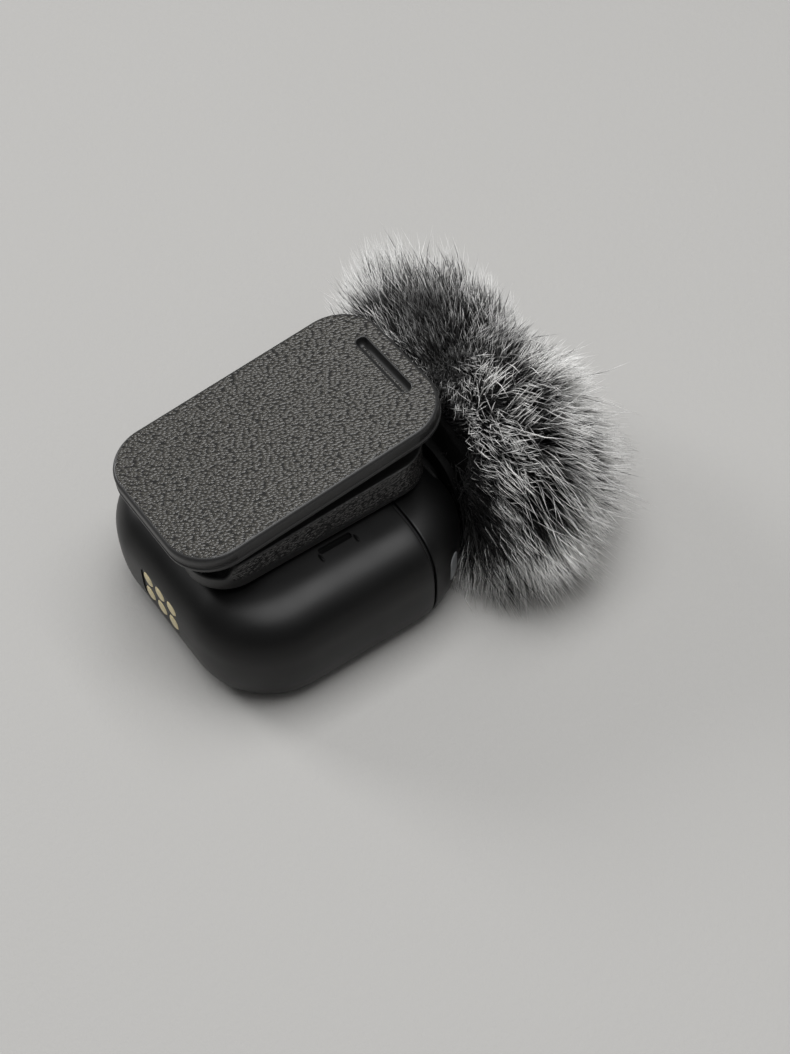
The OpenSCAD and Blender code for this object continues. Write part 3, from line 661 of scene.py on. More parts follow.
@dataclass
class Housing:
    """Two smooth shells, with the seam, contacts, buttons and light window in them.

    Keys are each one's name, station and length. Posts are stations and sides. The boss is
    its length, width and corner, and the boot its two radii and both ends.
    """

    form: Pebble = field(default_factory=Pebble)
    wall: float = 1.2
    seam: tuple = (6.875, 7.125)
    seam_edge: float = 0.14
    seam_depth: float = 0.4
    lip: tuple = (1.25, 1.95)
    lip_ends: tuple = (5.825, 8.125)
    cap_wall: float = 1.55
    tail: float = -13.3
    pocket: tuple = (5.9, 3.95, 0.75)
    pocket_depth: float = 0.12
    contact_pitch: float = 1.95
    contact_radius: float = 0.78
    contact_edge: float = 0.12
    contact_length: float = 2.4
    contact_bore: float = 0.8
    contact_level: float = 5.9
    port_level: float = 6.3
    light_bearing: float = -57.0
    light_level: float = 5.4
    light_size: tuple = (3.4, 1.5)
    light_root: float = 6.3
    light_room: float = 0.05
    notch_place: tuple = (0.53, -7.45, 11.15)
    notch_size: tuple = (3.3, 0.6, 0.25)
    notch_depth: float = 0.12
    notch_tilt: float = -12.0
    rib_apart: float = 1.8
    rib_radius: float = 0.2
    rib_rise: float = 0.18
    rib_stretch: tuple = (0.8, 3.0, 1.0)
    boss: tuple = (11.6, 6.8, 0.8)
    boss_ends: tuple = (10.6, 12.45)
    port: tuple = (9.4, 4.6)
    port_ends: tuple = (11.8, 15.0)
    sound_hole: float = 2.0
    boot: tuple = (3.25, 4.0, 8.8, 10.7)
    keys: tuple = (("power", -2.6, 4.8), ("link", 1.9, 2.4001))
    key_width: float = 2.4
    key_level: float = 7.0
    key_gap: float = 0.12
    key_hole: tuple = (10.4, 14.0)
    posts: tuple = ((-7.6, 3.9), (-8.7, 8.7))
    post_radii: tuple = (1.1, 1.1, 0.98, 0.5, 0.5)
    post_levels: tuple = (1.0, 5.5, 5.6, 5.6, 3.2)

    def shell_path(self) -> tuple[Array, Array]:
        """Stations and insets of the rear shell, from its outer tip round to its inner one."""
        core, start = self.form.core[0], self.seam[0] - self.seam_edge
        outer = np.concatenate([-self.form.end_stations(0.0)[::-1],
                                np.linspace(-core, start, 34)[1:]])
        turn = np.linspace(0, QUARTER, 6)[1:]
        inner = np.concatenate([np.linspace(self.seam[0], -core, 20),
                                -self.form.end_stations(self.wall, 24)[1:]])
        x = np.concatenate([outer, start + self.seam_edge * np.sin(turn), inner])
        inset = np.concatenate([0 * outer, self.seam_edge * (1 - np.cos(turn)),
                                np.full(len(inner), self.wall)])
        return x, inset

    def cap_path(self) -> tuple[Array, Array]:
        """Stations and insets of the cap, from its inner tip over the lip to its outer one."""
        inner = self.form.end_stations(self.cap_wall, 24)[::-1]
        inner = inner[inner > self.seam[1] + 1.0]
        turn = np.linspace(QUARTER, 0, 6)
        outer = self.form.end_stations(0.0, 40)
        outer = outer[outer > self.seam[1] + self.seam_edge + 0.05]
        (low, high), (back, front) = self.lip, self.lip_ends
        x = np.concatenate([inner, [front, front, back, back, self.seam[1]],
                            self.seam[1] + self.seam_edge * (1 - np.sin(turn)), outer])
        inset = np.concatenate([np.full(len(inner), self.cap_wall),
                                [self.cap_wall, high, high, low, low],
                                self.seam_edge * (1 - np.cos(turn)), 0 * outer])
        return x, inset

    def rear(self) -> None:
        """Rear shell: moulded body with contact pocket, button holes and nail notch."""
        shell = make_object("rear_shell", loft(self.form.loop(*self.shell_path())), 40)
        pocket = along_x(prism(box_outline(*self.pocket), -1.0, self.pocket_depth))
        carve(shell, moved(pocket, self.tail, 0, self.contact_level))
        bore = along_x(lathe([self.contact_bore] * 2, [-0.2, 1.3]))
        carve(shell, *(moved(bore, self.tail + 0.25, y, z) for y, z in self.contact_places()))
        for _, x, length in self.keys:
            outline = pill_outline(length + 2 * self.key_gap, self.key_width + 2 * self.key_gap)
            carve(shell, moved(along_y(prism(outline, *self.key_hole)), x, 0, self.key_level))
        self.notch(shell)
        settle(shell, "housing", Finish.SHELL, "main_shell")
        post = lathe(self.post_radii, self.post_levels, 32)
        posts = [moved(post, x, y, 0) for x in self.posts[0] for y in self.posts[1]]
        settle(make_object("board_posts", merged(*posts)), "housing", Finish.SHELL)

    def notch(self, shell: bpy.types.Object) -> None:
        """Nail notch in the shoulder beside the clip, with a low rib at each end."""
        x, y, level = self.notch_place
        slot = prism(box_outline(*self.notch_size, 48), -self.notch_depth, 1.0)
        slot = turned(slot, self.notch_tilt, "X")
        carve(shell, moved(slot, x, y + 0.1, level))
        turn = np.linspace(0, QUARTER, 8)
        points, faces = lathe(self.rib_radius * np.cos(turn), self.rib_rise * np.sin(turn), 24)
        rib = turned((points * self.rib_stretch, faces), self.notch_tilt, "X")
        ribs = [moved(rib, x + side * self.rib_apart, y - 0.35, level - 0.07) for side in (-1, 1)]
        settle(make_object("shoulder_ribs", merged(*ribs)), "housing", Finish.SHELL)

    def contact_places(self) -> list[tuple[float, float]]:
        """Side and height of each of the six contacts."""
        return [(c * self.contact_pitch, self.contact_level + r * self.contact_pitch)
                for c in (-1, 0, 1) for r in (-0.5, 0.5)]

    def contacts(self) -> None:
        """Gold pins with a low dome and a rolled edge."""
        r, edge = self.contact_radius, self.contact_edge
        turn = np.linspace(0, QUARTER, 6)
        radii = np.concatenate([[0.02], np.linspace(0.1, r - edge, 5),
                                r - edge + edge * np.sin(turn), [r]])
        dome = 0.05 * (1 - (radii[:6] / r) ** 2)
        depths = np.concatenate([-0.02 - dome, 0.1 - edge * np.cos(turn), [self.contact_length]])
        pin = along_x(lathe(radii, depths))
        pins = [moved(pin, self.tail + self.pocket_depth, y, z) for y, z in self.contact_places()]
        settle(make_object("gold_contacts", merged(*pins)), "housing", Finish.GOLD, "contact_pads")

    def at_port(self, solid: Solid) -> Solid:
        """Lays a solid along the microphone's axis."""
        return moved(along_x(solid), 0, 0, self.port_level)

    def cap(self) -> None:
        """Front cap with the windscreen's socket, sound hole, light slot and boot tube."""
        cap = make_object("front_cap", loft(self.form.loop(*self.cap_path())), 40)
        settle(cap, "housing", Finish.SHELL, "mic_cap")
        boss = prism(box_outline(*self.boss), *self.boss_ends)
        block = make_object("port_boss", self.at_port(boss))
        port = self.at_port(prism(pill_outline(*self.port), *self.port_ends))
        carve(cap, port)
        carve(block, port)
        carve(block, self.at_port(lathe([self.sound_hole] * 2, [10.0, 11.9])))
        settle(block, "housing", Finish.BLACK)
        outline = pill_outline(*(size + self.light_room for size in self.light_size))
        points, faces = prism(outline, self.light_root - 1.2, self.light_root + 3.0)
        slot = turned((points[:, [2, 1, 0]] * [1, -1, 1], faces), self.light_bearing, "Z")
        carve(cap, moved(slot, self.form.core[0], -self.form.core[1], self.light_level))
        boot = make_object("boot_tube", self.at_port(tube(*self.boot)))
        settle(boot, "housing", Finish.BLACK)

    def window(self) -> None:
        """Light window that follows the corner's curve, with a soft edge.

        Each loop is the window's outline, drawn in by a share and laid over the corner. The
        first one is its root inside the wall.
        """
        form, bearing = self.form, math.radians(self.light_bearing)
        out = np.array([math.cos(bearing), math.sin(bearing)])
        side = np.array([-out[1], out[0]])
        loops = []
        shares = (1.0, 1.0, 0.94, 0.8, 0.5, 0.1)
        for share, lift in zip(shares, (None, -0.04, 0.03, 0.03, 0.03, 0.03)):
            up, across = (pill_outline(*self.light_size, 64) * share).T
            z = self.light_level + up
            drop = form.rolled(np.clip((form.widest - z) / form.widest, 0, 1))
            deep = form.corner - form.bottom_roll * (1 - drop)
            reach = np.sqrt(np.maximum(deep**2 - across**2, 0)) + (lift or 0)
            reach = np.full(len(z), self.light_root) if lift is None else reach
            place = [form.core[0], -form.core[1]] + reach[:, None] * out + across[:, None] * side
            loops.append(np.column_stack([place, z]))
        loops[0] = loops[0] * 0.999 + 0.001 * loops[0].mean(0)
        lens = make_object("light_window", loft(np.stack(loops)[:, ::-1]), 50)
        settle(lens, "housing", Finish.WINDOW, "light_pipe")

    def gasket(self) -> None:
        """Soft ring that shows as the dark line of the seam."""
        inset = [self.lip[0], self.seam_depth, self.seam_depth, self.lip[0]]
        loops = self.form.loop(np.repeat(self.seam, 2), inset)
        ring = make_object("seam_ring", loft(loops, ring=True), 50)
        settle(ring, "housing", Finish.RUBBER, "seam_gasket")

    def buttons(self) -> None:
        """Both side buttons, each a crowned cap with a soft edge on its inner flange."""
        turn = np.linspace(0, QUARTER, 6)
        offset = np.concatenate([[0.35, 0.35, 0.0], 0.2 * (np.cos(turn) - 1), [-0.6, -1.0]])
        height = np.concatenate([[11.3, 11.75, 11.75], 13.05 + 0.18 * np.sin(turn),
                                 [13.27, 13.28]])
        for key, x, length in self.keys:
            outlines = [pill_outline(length + 2 * o, self.key_width + 2 * o, 72) for o in offset]
            cap = moved(along_y(stacked(outlines, height)), x, 0, self.key_level)
            piece = make_object(f"{key}_cap", cap, 40)
            settle(piece, f"{key}_key", Finish.BUTTON, f"{key}_button")

    def build(self) -> None:
        """Makes every visible piece of the housing."""
        self.rear()
        self.cap()
        self.gasket()
        self.contacts()
        self.window()
        self.buttons()


# ---------------------------------------------------------------- clip


@dataclass
class Clip:
    """The sprung clip: grained upper jaw plate and grained lower tray.

    The tray's roundings are those of its foot, its outer and its inner upper edge. Ears and
    bosses are at both ends of each along Y.
    """

    pin: tuple = (-1.5, 0.5, 14.3)
    slope: float = 6.0
    shift: float = 2.2
    size: tuple = (26.8, 16.2)
    corner: float = 4.3
    under: float = 2.35
    top: float = 4.1
    edge: float = 0.35
    loop_points: int = 320
    groove_length: float = 6.5
    groove_at: float = 13.4
    lug: float = 1.25
    tray_size: tuple = (23.3, 15.0)
    tray_corner: float = 3.7
    tray_middle: tuple = (0.15, 0.5)
    tray_under: float = 11.6
    tray_floor: float = 12.9
    tray_rounding: tuple = (0.45, 0.18, 0.13)
    lip_step: tuple = (-9.9, -8.4)
    slope_start: float = -9.2
    magnets: tuple = (-3.0, 3.0)
    magnet_pocket: tuple = (2.35, 11.85, 14.0)
    ears_at: tuple = ((-4.1, -2.9), (2.9, 4.1))
    ear_reach: float = 2.5
    bosses_at: tuple = ((-6.9, -4.2), (4.2, 6.9))
    boss_reach: float = -1.45
    boss_bore: float = 0.61
    lip_top: float = 13.25
    wall_top: float = 14.7
    wall_slope: float = 2.0
    wall: float = 1.3
    lip_wall: float = 0.42

    def to_world(self, solid: Solid) -> Solid:
        """Moves a solid from the plate's own frame, with the pin at its origin, into place."""
        return moved(turned(solid, -self.slope, "Y"), *self.pin)

    def plate(self) -> None:
        """Upper jaw: slab with round corners, a soft rim with a fine line, and the groove."""
        turn = np.linspace(0, QUARTER, 10)
        low = np.linspace(-QUARTER, 0, 5)
        line = np.array([[0.0, 0.4], [0.08, 0.46], [0.1, 0.54], [0.05, 0.6]])
        offset = np.concatenate([[3.8, 1.4, 0.7], 0.15 * (1 - np.cos(low)), line[:, 0],
                                 0.05 + self.edge * (1 - np.cos(turn)), [0.55, 1.2, 2.2, 3.8]])
        height = np.concatenate([[self.under] * 3, self.under + 0.15 * (1 + np.sin(low)),
                                 self.under + line[:, 1], self.top - self.edge * (1 - np.sin(turn)),
                                 [self.top] * 4])
        length, width = self.size
        outlines = [box_outline(length - 2 * o, width - 2 * o, self.corner - o, self.loop_points)
                    for o in offset]
        slab = moved(stacked(outlines, height), self.shift, 0, 0)
        plate = make_object("upper_jaw", self.to_world(slab), 40)
        carve(plate, self.groove(), angle=40)
        weight = plate.modifiers.new("even_shading", "WEIGHTED_NORMAL")
        weight.keep_sharp = True
        baked(plate)
        up = Matrix.Rotation(math.radians(-self.slope), 3, "Y") @ Vector((0, 0, 1))
        finish = LeatherGrain("leather_grain_plate", facing=tuple(up))
        settle(plate, "jaw", Finish.CLIP, "clip_plate", own=finish.build())

    def groove(self) -> Solid:
        """Thumb groove: round-ended trough whose lip rolls out flat onto the plate."""
        turn = np.linspace(0.05, QUARTER, 9)
        offset = np.concatenate([0.48 * np.sin(turn), [0.5, 0.53, 0.6, 0.85], [0.85]])
        height = np.concatenate([-0.35 - 0.5 * np.cos(turn), [-0.14, -0.05, -0.008, 0.02], [0.8]])
        outlines = [pill_outline(self.groove_length + 2 * o, 2 * o, 64) for o in offset]
        across = [flat[:, ::-1] * [-1, 1] for flat in outlines]
        return self.to_world(moved(stacked(across, height), self.groove_at, 0, self.top))

    def eye(self, low: float, high: float, reach: float, bore: float = 0.65) -> Solid:
        """Lug with a bore along Y at the origin and a square foot.

        Args:
            low: Where the lug starts along Y.
            high: Where it ends.
            reach: How far the foot reaches up, or down if negative.
            bore: Radius of the bore.

        Returns:
            The lug.
        """
        ring = circle(64)[:, ::-1]
        outer = self.lug * ring
        foot = outer[:, 1] * reach > 0
        outer[foot, 0] = self.lug * np.clip(ring[foot, 0] * 1.42, -1, 1)
        outer[foot, 1] = np.sign(reach) * np.clip(abs(outer[foot, 1]) * 4, 0, abs(reach))
        loops = [bore * ring, outer, outer, bore * ring]
        points, faces = stacked(loops, (low, low, high, high), ring=True)
        return points[:, [0, 2, 1]], faces

    def ears(self) -> None:
        """Ears that run on the pin, and the jaw's ridge."""
        ridge = moved(prism(box_outline(1.4, 10.6, 0.2, 32), 0.85, 2.5), -8.8, 0, 0)
        ears = [self.eye(*ends, self.ear_reach) for ends in self.ears_at]
        parts = self.to_world(merged(*ears, ridge))
        settle(make_object("jaw_ears", parts), "jaw", Finish.CLIP)

    def tray_loops(self) -> Array:
        """Loops of the lower jaw from the middle of its underside over the wall to its floor.

        The wall's top falls to the lip with a soft step at the gripping end, and the wall
        thins there. Each loop is the outline, moved inwards by its own amount at each point.
        """
        count = self.loop_points
        aim = circle(count, np.pi / count)
        core = np.sign(aim) * (np.array(self.tray_size) / 2 - self.tray_corner)
        x = core[:, 0] + self.tray_corner * aim[:, 0] + self.tray_middle[0]
        step = ramp(x, *self.lip_step)
        step = step * step * (3 - 2 * step)
        rise = math.tan(math.radians(self.wall_slope))
        full = self.wall_top + rise * (x - self.slope_start)
        top = self.lip_top + (full - self.lip_top) * step
        thick = self.lip_wall + (self.wall - self.lip_wall) * step
        under, floor = self.tray_under, self.tray_floor
        foot, outer, inner = self.tray_rounding
        quarter = [(1 - math.sin(t), 1 - math.cos(t)) for t in np.linspace(0, QUARTER, 7)]
        path = [(3.5, under), (1.2, under)]
        path += [(foot * s, under + foot * c) for s, c in quarter]
        path += [(outer * c, top - outer * s) for s, c in quarter]
        path += [(thick - inner * s, top - inner * c) for s, c in quarter]
        path += [(thick, floor + 0.06), (thick + 0.08, floor), (2.5, floor), (3.5, floor)]
        loops = []
        for inset, level in path:
            flat = core + (self.tray_corner - np.broadcast_to(inset, (count,)))[:, None] * aim
            height = np.broadcast_to(level, (count,))
            loops.append(np.column_stack([flat + self.tray_middle, height]))
        return np.stack(loops)

    def tray(self) -> None:
        """Lower jaw with pockets for its magnets and bosses for the pin."""
        tray = make_object("lower_jaw", loft(self.tray_loops()), 50)
        radius, low, high = self.magnet_pocket
        pocket = lathe([radius] * 2, [low, high])
        carve(tray, *(moved(pocket, x, self.pin[1], 0) for x in self.magnets), angle=50)
        finish = LeatherGrain("leather_grain_tray", (0.05, 0.048, 0.047), walls=True, cells=4200.0,
                              depth=0.05)
        settle(tray, "clip", Finish.CLIP, "clip_base", own=finish.build())
        bosses = [self.eye(*ends, self.boss_reach, self.boss_bore) for ends in self.bosses_at]
        both = moved(merged(*bosses), *self.pin)
        settle(make_object("pin_bosses", both), "clip", Finish.CLIP)

    def build(self) -> None:
        """Makes the clip's visible pieces."""
        self.plate()
        self.ears()
        self.tray()


# ---------------------------------------------------------------- windscreen


@dataclass
class Lobes:
    """The fur's outer envelope: two round lobes and the waist between them.

    Each ball is its middle and its three half-axes.
    """

    balls: tuple = (
        ((18.8, -7.0, 8.9), (10.8, 11.9, 12.5)),
        ((20.5, 7.2, 10.0), (8.2, 10.9, 11.0)),
        ((18.4, -0.5, 8.6), (7.4, 8.0, 8.8)),
    )
    middle: tuple = (17.2, 0.0, 7.0)
    blend: float = 1.4

    def reach(self, aim: Array) -> Array:
        """Distance from the middle to the envelope along unit directions.

        With everything divided by a ball's half-axes, the far root of
        |middle + t aim - centre| = 1 is the distance to that ball. The three distances are
        joined by a soft maximum.
        """
        found = []
        for centre, axes in self.balls:
            gap = (np.array(self.middle) - centre) / axes
            way = aim / np.array(axes)
            a, b, c = (way * way).sum(1), way @ gap, gap @ gap - 1
            root = b * b - a * c
            found.append(np.where(root > 0, (-b + np.sqrt(np.maximum(root, 0))) / a, 0))
        return np.log(np.exp(np.stack(found) * self.blend).sum(0)) / self.blend - 0.25


@dataclass
class Fur:
    """Hair as real strands, each a three-sided tapering tube through its stations.

    A tuft is a handful of hairs, and a lock is made of neighbouring tufts. A station is a
    share of the hair's length. Bow and wander are sideways shares of the length at the
    curve's last three points, the same way for a tuft and a chance way for each hair. Each
    parting is its place, its width, and the share of length and tone lost there.
    """

    lobes: Lobes = field(default_factory=Lobes)
    form: Pebble = field(default_factory=Pebble)
    seed: int = 20
    locks: int = 210
    tufts: int = 1300
    hairs: int = 40
    pieces: int = 8
    backwards: float = 126.0
    sideways: float = 118.0
    stray_hairs: float = 0.3
    short_hairs: float = 0.16
    long_hairs: float = 0.002
    dark_tufts: float = 0.36
    thickness: float = 0.046
    stations: tuple = (0.0, 0.28, 0.55, 0.8, 1.0)
    swell: tuple = (0.75, 0.95, 1.0, 0.8)
    fur_back: float = 14.1
    looseness: float = 0.6
    upright: float = 0.36
    bow: tuple = (0.04, 0.13, 0.04)
    wander: tuple = (0.0, 0.035, 0.03)
    sag: float = 0.07
    parting_pull: float = 0.14
    gap: float = 0.3
    end_radius: float = 8.1
    end_top: float = 11.9
    open_face: float = 9.0
    near_face: float = 11.0
    clip_face: float = 14.7
    clip_half: float = 8.9
    clip_low: float = 11.0
    cap_level: float = 6.3
    dome_back: float = 14.6
    dome_radius: float = 5.6
    root_dome: tuple = (5.55, 7.0)
    swirl_waves: int = 6
    partings: tuple = (
        ((19.5, 6.3, 20.0), 5.0, 0.5),
        ((18.8, 5.0, 19.6), 2.2, 0.5),
        ((17.3, 0.6, 18.8), 3.0, 0.6),
        ((15.0, -3.0, 19.0), 2.6, 0.7),
        ((20.9, -5.4, 20.1), 1.6, 0.85),
        ((22.0, -10.2, 19.2), 1.7, 0.85),
        ((20.2, -12.3, 18.7), 1.6, 0.85),
        ((18.4, -14.3, 17.3), 1.7, 0.85),
        ((20.0, -16.0, 15.0), 1.6, 0.8),
        ((16.8, -15.8, 14.5), 1.2, 0.8),
        ((14.9, -16.2, 11.8), 1.4, 0.8),
        ((18.6, -17.4, 8.9), 1.5, 0.7),
        ((14.8, -13.0, 17.6), 0.9, 0.7),
    )

    def allowed(self, aim: Array) -> Array:
        """Which directions may carry hair.

        The cone round -X that faces the housing is bare, and it is wider on the near side
        than at the back and along the floor.
        """
        polar = np.degrees(np.arccos(np.clip(aim[:, 0], -1, 1)))
        behind = ramp(aim[:, 1], 0.15, 0.65)
        under = ramp(aim[:, 2], -0.15, -0.4) * ramp(aim[:, 1], -0.2, -0.5)
        return polar < self.sideways + (self.backwards - self.sideways) * behind + 15 * under

    def directions(self, rng: Chance, count: int) -> Array:
        """Even random directions over the part of the ball that carries hair."""
        along = rng.uniform(-0.6, 1.0, count * 3)
        turn = rng.uniform(0, 2 * np.pi, count * 3)
        across = np.sqrt(1 - along**2)
        aim = np.stack([along, across * np.cos(turn), across * np.sin(turn)], axis=1)
        return aim[self.allowed(aim)][:count]

    def swirl(self, rng: Chance, aim: Array) -> Array:
        """Slow sideways drift of neighbouring hairs: a few waves over the ball."""
        drift = np.zeros_like(aim)
        for _ in range(self.swirl_waves):
            axis, way = rng.normal(0, 1, (2, 3))
            wave = np.sin(aim @ axis * rng.uniform(2.0, 4.5) + rng.uniform(0, 6.3))
            drift += wave[:, None] * way / np.linalg.norm(way)
        return drift / math.sqrt(self.swirl_waves)

    def roots(self, aim: Array) -> tuple[Array, Array]:
        """Points on the knitted dome that face the given directions, and its normals there."""
        turn = np.arctan2(aim[:, 2], aim[:, 1])
        polar = np.degrees(np.arccos(np.clip(aim[:, 0], -1, 1)))
        rise = np.radians(90 * (1 - np.clip(polar / self.backwards, 0, 1)) ** 0.9)
        radius, depth = self.root_dome
        ring = radius * np.cos(rise)
        place = np.stack([self.dome_back + depth * np.sin(rise), ring * np.cos(turn),
                          self.cap_level + ring * np.sin(turn)], axis=1)
        across = np.cos(rise) * depth
        return place, unit(np.stack([np.sin(rise) * self.dome_radius, across * np.cos(turn),
                                     across * np.sin(turn)], axis=1))

    def kept_clear(self, points: Array, loose: Array) -> Array:
        """Pushes points forwards out of the housing and the clip, and up off the floor.

        Args:
            points: Points of the hairs, shaped (hairs, stations, 3).
            loose: How far each hair stands in front of the pile's back plane, or behind it.

        Returns:
            The points, moved.
        """
        x, y, z = points[..., 0], points[..., 1], points[..., 2]
        # The housing's round end, a little larger than it is.
        out = np.maximum(abs(y) - self.form.core[1], 0)
        level = np.clip((z - self.form.widest) / 4.9, -1.25, 1)
        room = self.form.corner * np.sqrt(np.clip(1 - (out / self.end_radius) ** 2, 0, 1))
        room = room * np.clip(1 - np.abs(level) ** 3, 0, 1) ** 0.4
        beside = (out < self.end_radius) & (z < self.end_top)
        face = np.where(beside, self.form.core[0] + room + self.gap, self.open_face)
        # The clip's front, and the near side, where the pile starts later.
        clip = (np.abs(y - 0.5) < self.clip_half) & (z > self.clip_low)
        face = np.where(clip, np.maximum(face, self.clip_face + np.abs(loose)), face)
        near = self.near_face - 0.8 * ramp(z, 1.8, 1.2)
        face = np.where(y < 0, np.maximum(face, near), face)
        # The pile's back plane, which the far side and the lowest tuft are free of.
        free = np.maximum(ramp(y, 2.5, 7.5), ramp(z, 3.6, 1.6) * ramp(y, -7.8, -10.0))
        back = self.fur_back + loose - 1.7 * ramp(z, 7.4, 5.4) * ramp(y, -8.6, -11.0)
        face = np.maximum(face, back * (1 - free) + face * free)
        # Soft maximum against the face, and a soft floor.
        x = face + np.logaddexp(0, (x - face) * 2.2) / 2.2
        z = np.where(z < 1.2, 0.05 + np.logaddexp(0, (z - 0.15) * 3.0) / 3.0 * 0.92, z)
        return np.stack([x, y, np.maximum(z, 0.07)], axis=-1)

    def left_by_partings(self, tip: Array) -> Array:
        """Share of length and tone that the partings leave to each hair, by its tip."""
        left = np.ones(len(tip))
        for place, wide, lost in self.partings:
            gap = np.linalg.norm(tip - np.array(place), axis=1) / wide
            left *= 1 - lost * np.exp(-(gap**2))
        return left

    def bezier(self, root: Array, first: Array, second: Array, tip: Array) -> Array:
        """Points of cubic Bezier curves at the stations, shaped (hairs, stations, 3)."""
        t = np.array(self.stations)[None, :, None]
        return ((1 - t) ** 3 * root[:, None] + 3 * (1 - t) ** 2 * t * first[:, None]
                + 3 * (1 - t) * t**2 * second[:, None] + t**3 * tip[:, None])

    def aims(self, rng: Chance) -> tuple[Array, Array, Array, Array]:
        """Directions of the hairs' roots and tips.

        The hairs of one tuft keep close together, and the tufts of one lock lean towards the
        lock's own direction.

        Args:
            rng: Source of the random numbers.

        Returns:
            Each hair's tuft, each tuft's lock, and unit directions of the roots and the tips.
        """
        centre = self.directions(rng, self.tufts)
        share = np.repeat(np.arange(self.tufts), self.hairs)
        lock = self.directions(rng, self.locks)
        home = np.argmax(centre @ lock.T, axis=1)
        pull = rng.uniform(0.2, 0.65, self.locks)[home, None]
        lean = pull * (lock[home] - centre) + rng.normal(0, 0.09, lock.shape)[home]
        lean += 0.1 * self.swirl(rng, centre) + rng.normal(0, 0.08, centre.shape)
        spread = rng.normal(0, 1, (len(share), 3))
        tip = centre[share] + lean[share] + 0.03 * spread + rng.normal(0, 0.016, spread.shape)
        stray = rng.random(len(share)) < self.stray_hairs
        tip[stray] += rng.normal(0, 0.2, (stray.sum(), 3))
        return share, home, unit(centre[share] + 0.1 * spread), unit(tip)

    def lengths(self, rng: Chance, share: Array, home: Array,
                low: Array) -> tuple[Array, Array, Array]:
        """How long the hairs are, as shares of the way to the envelope.

        Args:
            rng: Source of the random numbers.
            share: Each hair's tuft.
            home: Each tuft's lock.
            low: How far each hair belongs to the lowest tuft, from 0 to 1.

        Returns:
            The lengths, which hairs are in a dark tuft, and which are short ones below.
        """
        by_tuft = rng.normal(1.01, 0.05, self.locks)[home] * rng.normal(1.0, 0.035, self.tufts)
        length = by_tuft[share] * (1.03 - np.abs(rng.normal(0, 0.06, len(share))))
        dark = (rng.random(self.tufts) < self.dark_tufts)[share]
        length[dark] *= 0.84
        under = rng.random(len(share)) < self.short_hairs
        length[under] *= rng.uniform(0.45, 0.8, under.sum())
        length = np.clip(length * (1 + 0.14 * low), 0.35, 1.1 + 0.1 * low)
        length[rng.random(len(share)) < self.long_hairs] *= 1.12
        return length, dark, under

    def tones_with_painted_shade(self, rng: Chance, share: Array, dark: Array, under: Array,
              tip: Array) -> Array:
        """Lightness of the hairs: chance, less painted shade at the waist, on the far lobe and at
        the near end.

        Args:
            rng: Source of the random numbers.
            share: Each hair's tuft.
            dark: Which hairs are in a dark tuft.
            under: Which hairs are short ones below.
            tip: Where the hairs end.

        Returns:
            One number a hair.
        """
        tone_and_painted_shade = rng.random(self.tufts)[share] * 0.4 + 0.6 * rng.random(len(share))
        tone_and_painted_shade = 0.42 + 0.58 * tone_and_painted_shade
        tone_and_painted_shade[dark] = 0.12 * rng.random(dark.sum())
        tone_and_painted_shade[under] *= 0.4
        x, y, z = tip.T
        # Painted shade: darker in the waist between the lobes, and on the far lobe.
        tone_and_painted_shade *= 1 - 0.5 * np.exp(-(((y + 2.0) / 3.5) ** 2))
        tone_and_painted_shade *= 1 - 0.25 * ramp(y, 0, 3)
        # Painted shade on the near side's hairs that end high up beside the housing's end.
        return tone_and_painted_shade * (1 - 0.8 * ramp(x, 11.2, 10.4) * ramp(z, 3.2, 4.8) * (y < 0))

    def curves(self, rng: Chance) -> tuple[Array, Array]:
        """Centre lines of all hairs, shaped (hairs, stations, 3), and one number each.

        A hair is a cubic Bezier curve that leaves the dome along its normal and ends on the
        envelope. The hairs of one lock share a direction, a length, a bend and a tone, and
        draw together towards the lock's tip.
        """
        share, home, root_aim, tip_aim = self.aims(rng)
        root, normal = self.roots(root_aim)
        low = ramp(tip_aim[:, 2], -0.2, -0.4) * ramp(tip_aim[:, 0], 0.1, -0.15)
        low = low * (tip_aim[:, 1] < 0)
        length, dark, under = self.lengths(rng, share, home, low)
        reach = self.lobes.reach(tip_aim) * length
        tip = np.array(self.lobes.middle) + tip_aim * reach[:, None]
        span = np.linalg.norm(tip - root, axis=1, keepdims=True)
        bend = unit(np.cross(tip - root, rng.normal(0, 1, (self.tufts, 3))[share]))
        own = rng.normal(0, 1, tip.shape)
        off = [(bend * b + own * w) * span for b, w in zip(self.bow, self.wander)]
        first = root + normal * span * self.upright + off[0]
        second = root + (tip - root) * 0.68 + off[1]
        tip = tip + off[2]
        parted = self.left_by_partings(tip)
        tip = root + (tip - root) * (1 - self.parting_pull * (1 - parted[:, None]))
        tip[:, 2] -= self.sag * span[:, 0]
        line = self.bezier(root, first, second, tip)
        line[:, 1:] = self.kept_clear(line[:, 1:], self.looseness * own[:, :1])
        tone_and_painted_shade = parted * self.tones_with_painted_shade(rng, share, dark, under, tip)
        # Painted shadow: near-side hairs rooted far back by the housing fade to black, except the
        # low ones by the floor.
        away = np.degrees(np.arccos(np.clip(root_aim[:, 0], -1, 1)))
        rear = ramp(away, 115, 107) + ramp(root_aim[:, 1], 0, 0.5) + low * ramp(tip[:, 2], 3.4, 2.2)
        return line, tone_and_painted_shade * np.clip(rear, 0, 1)

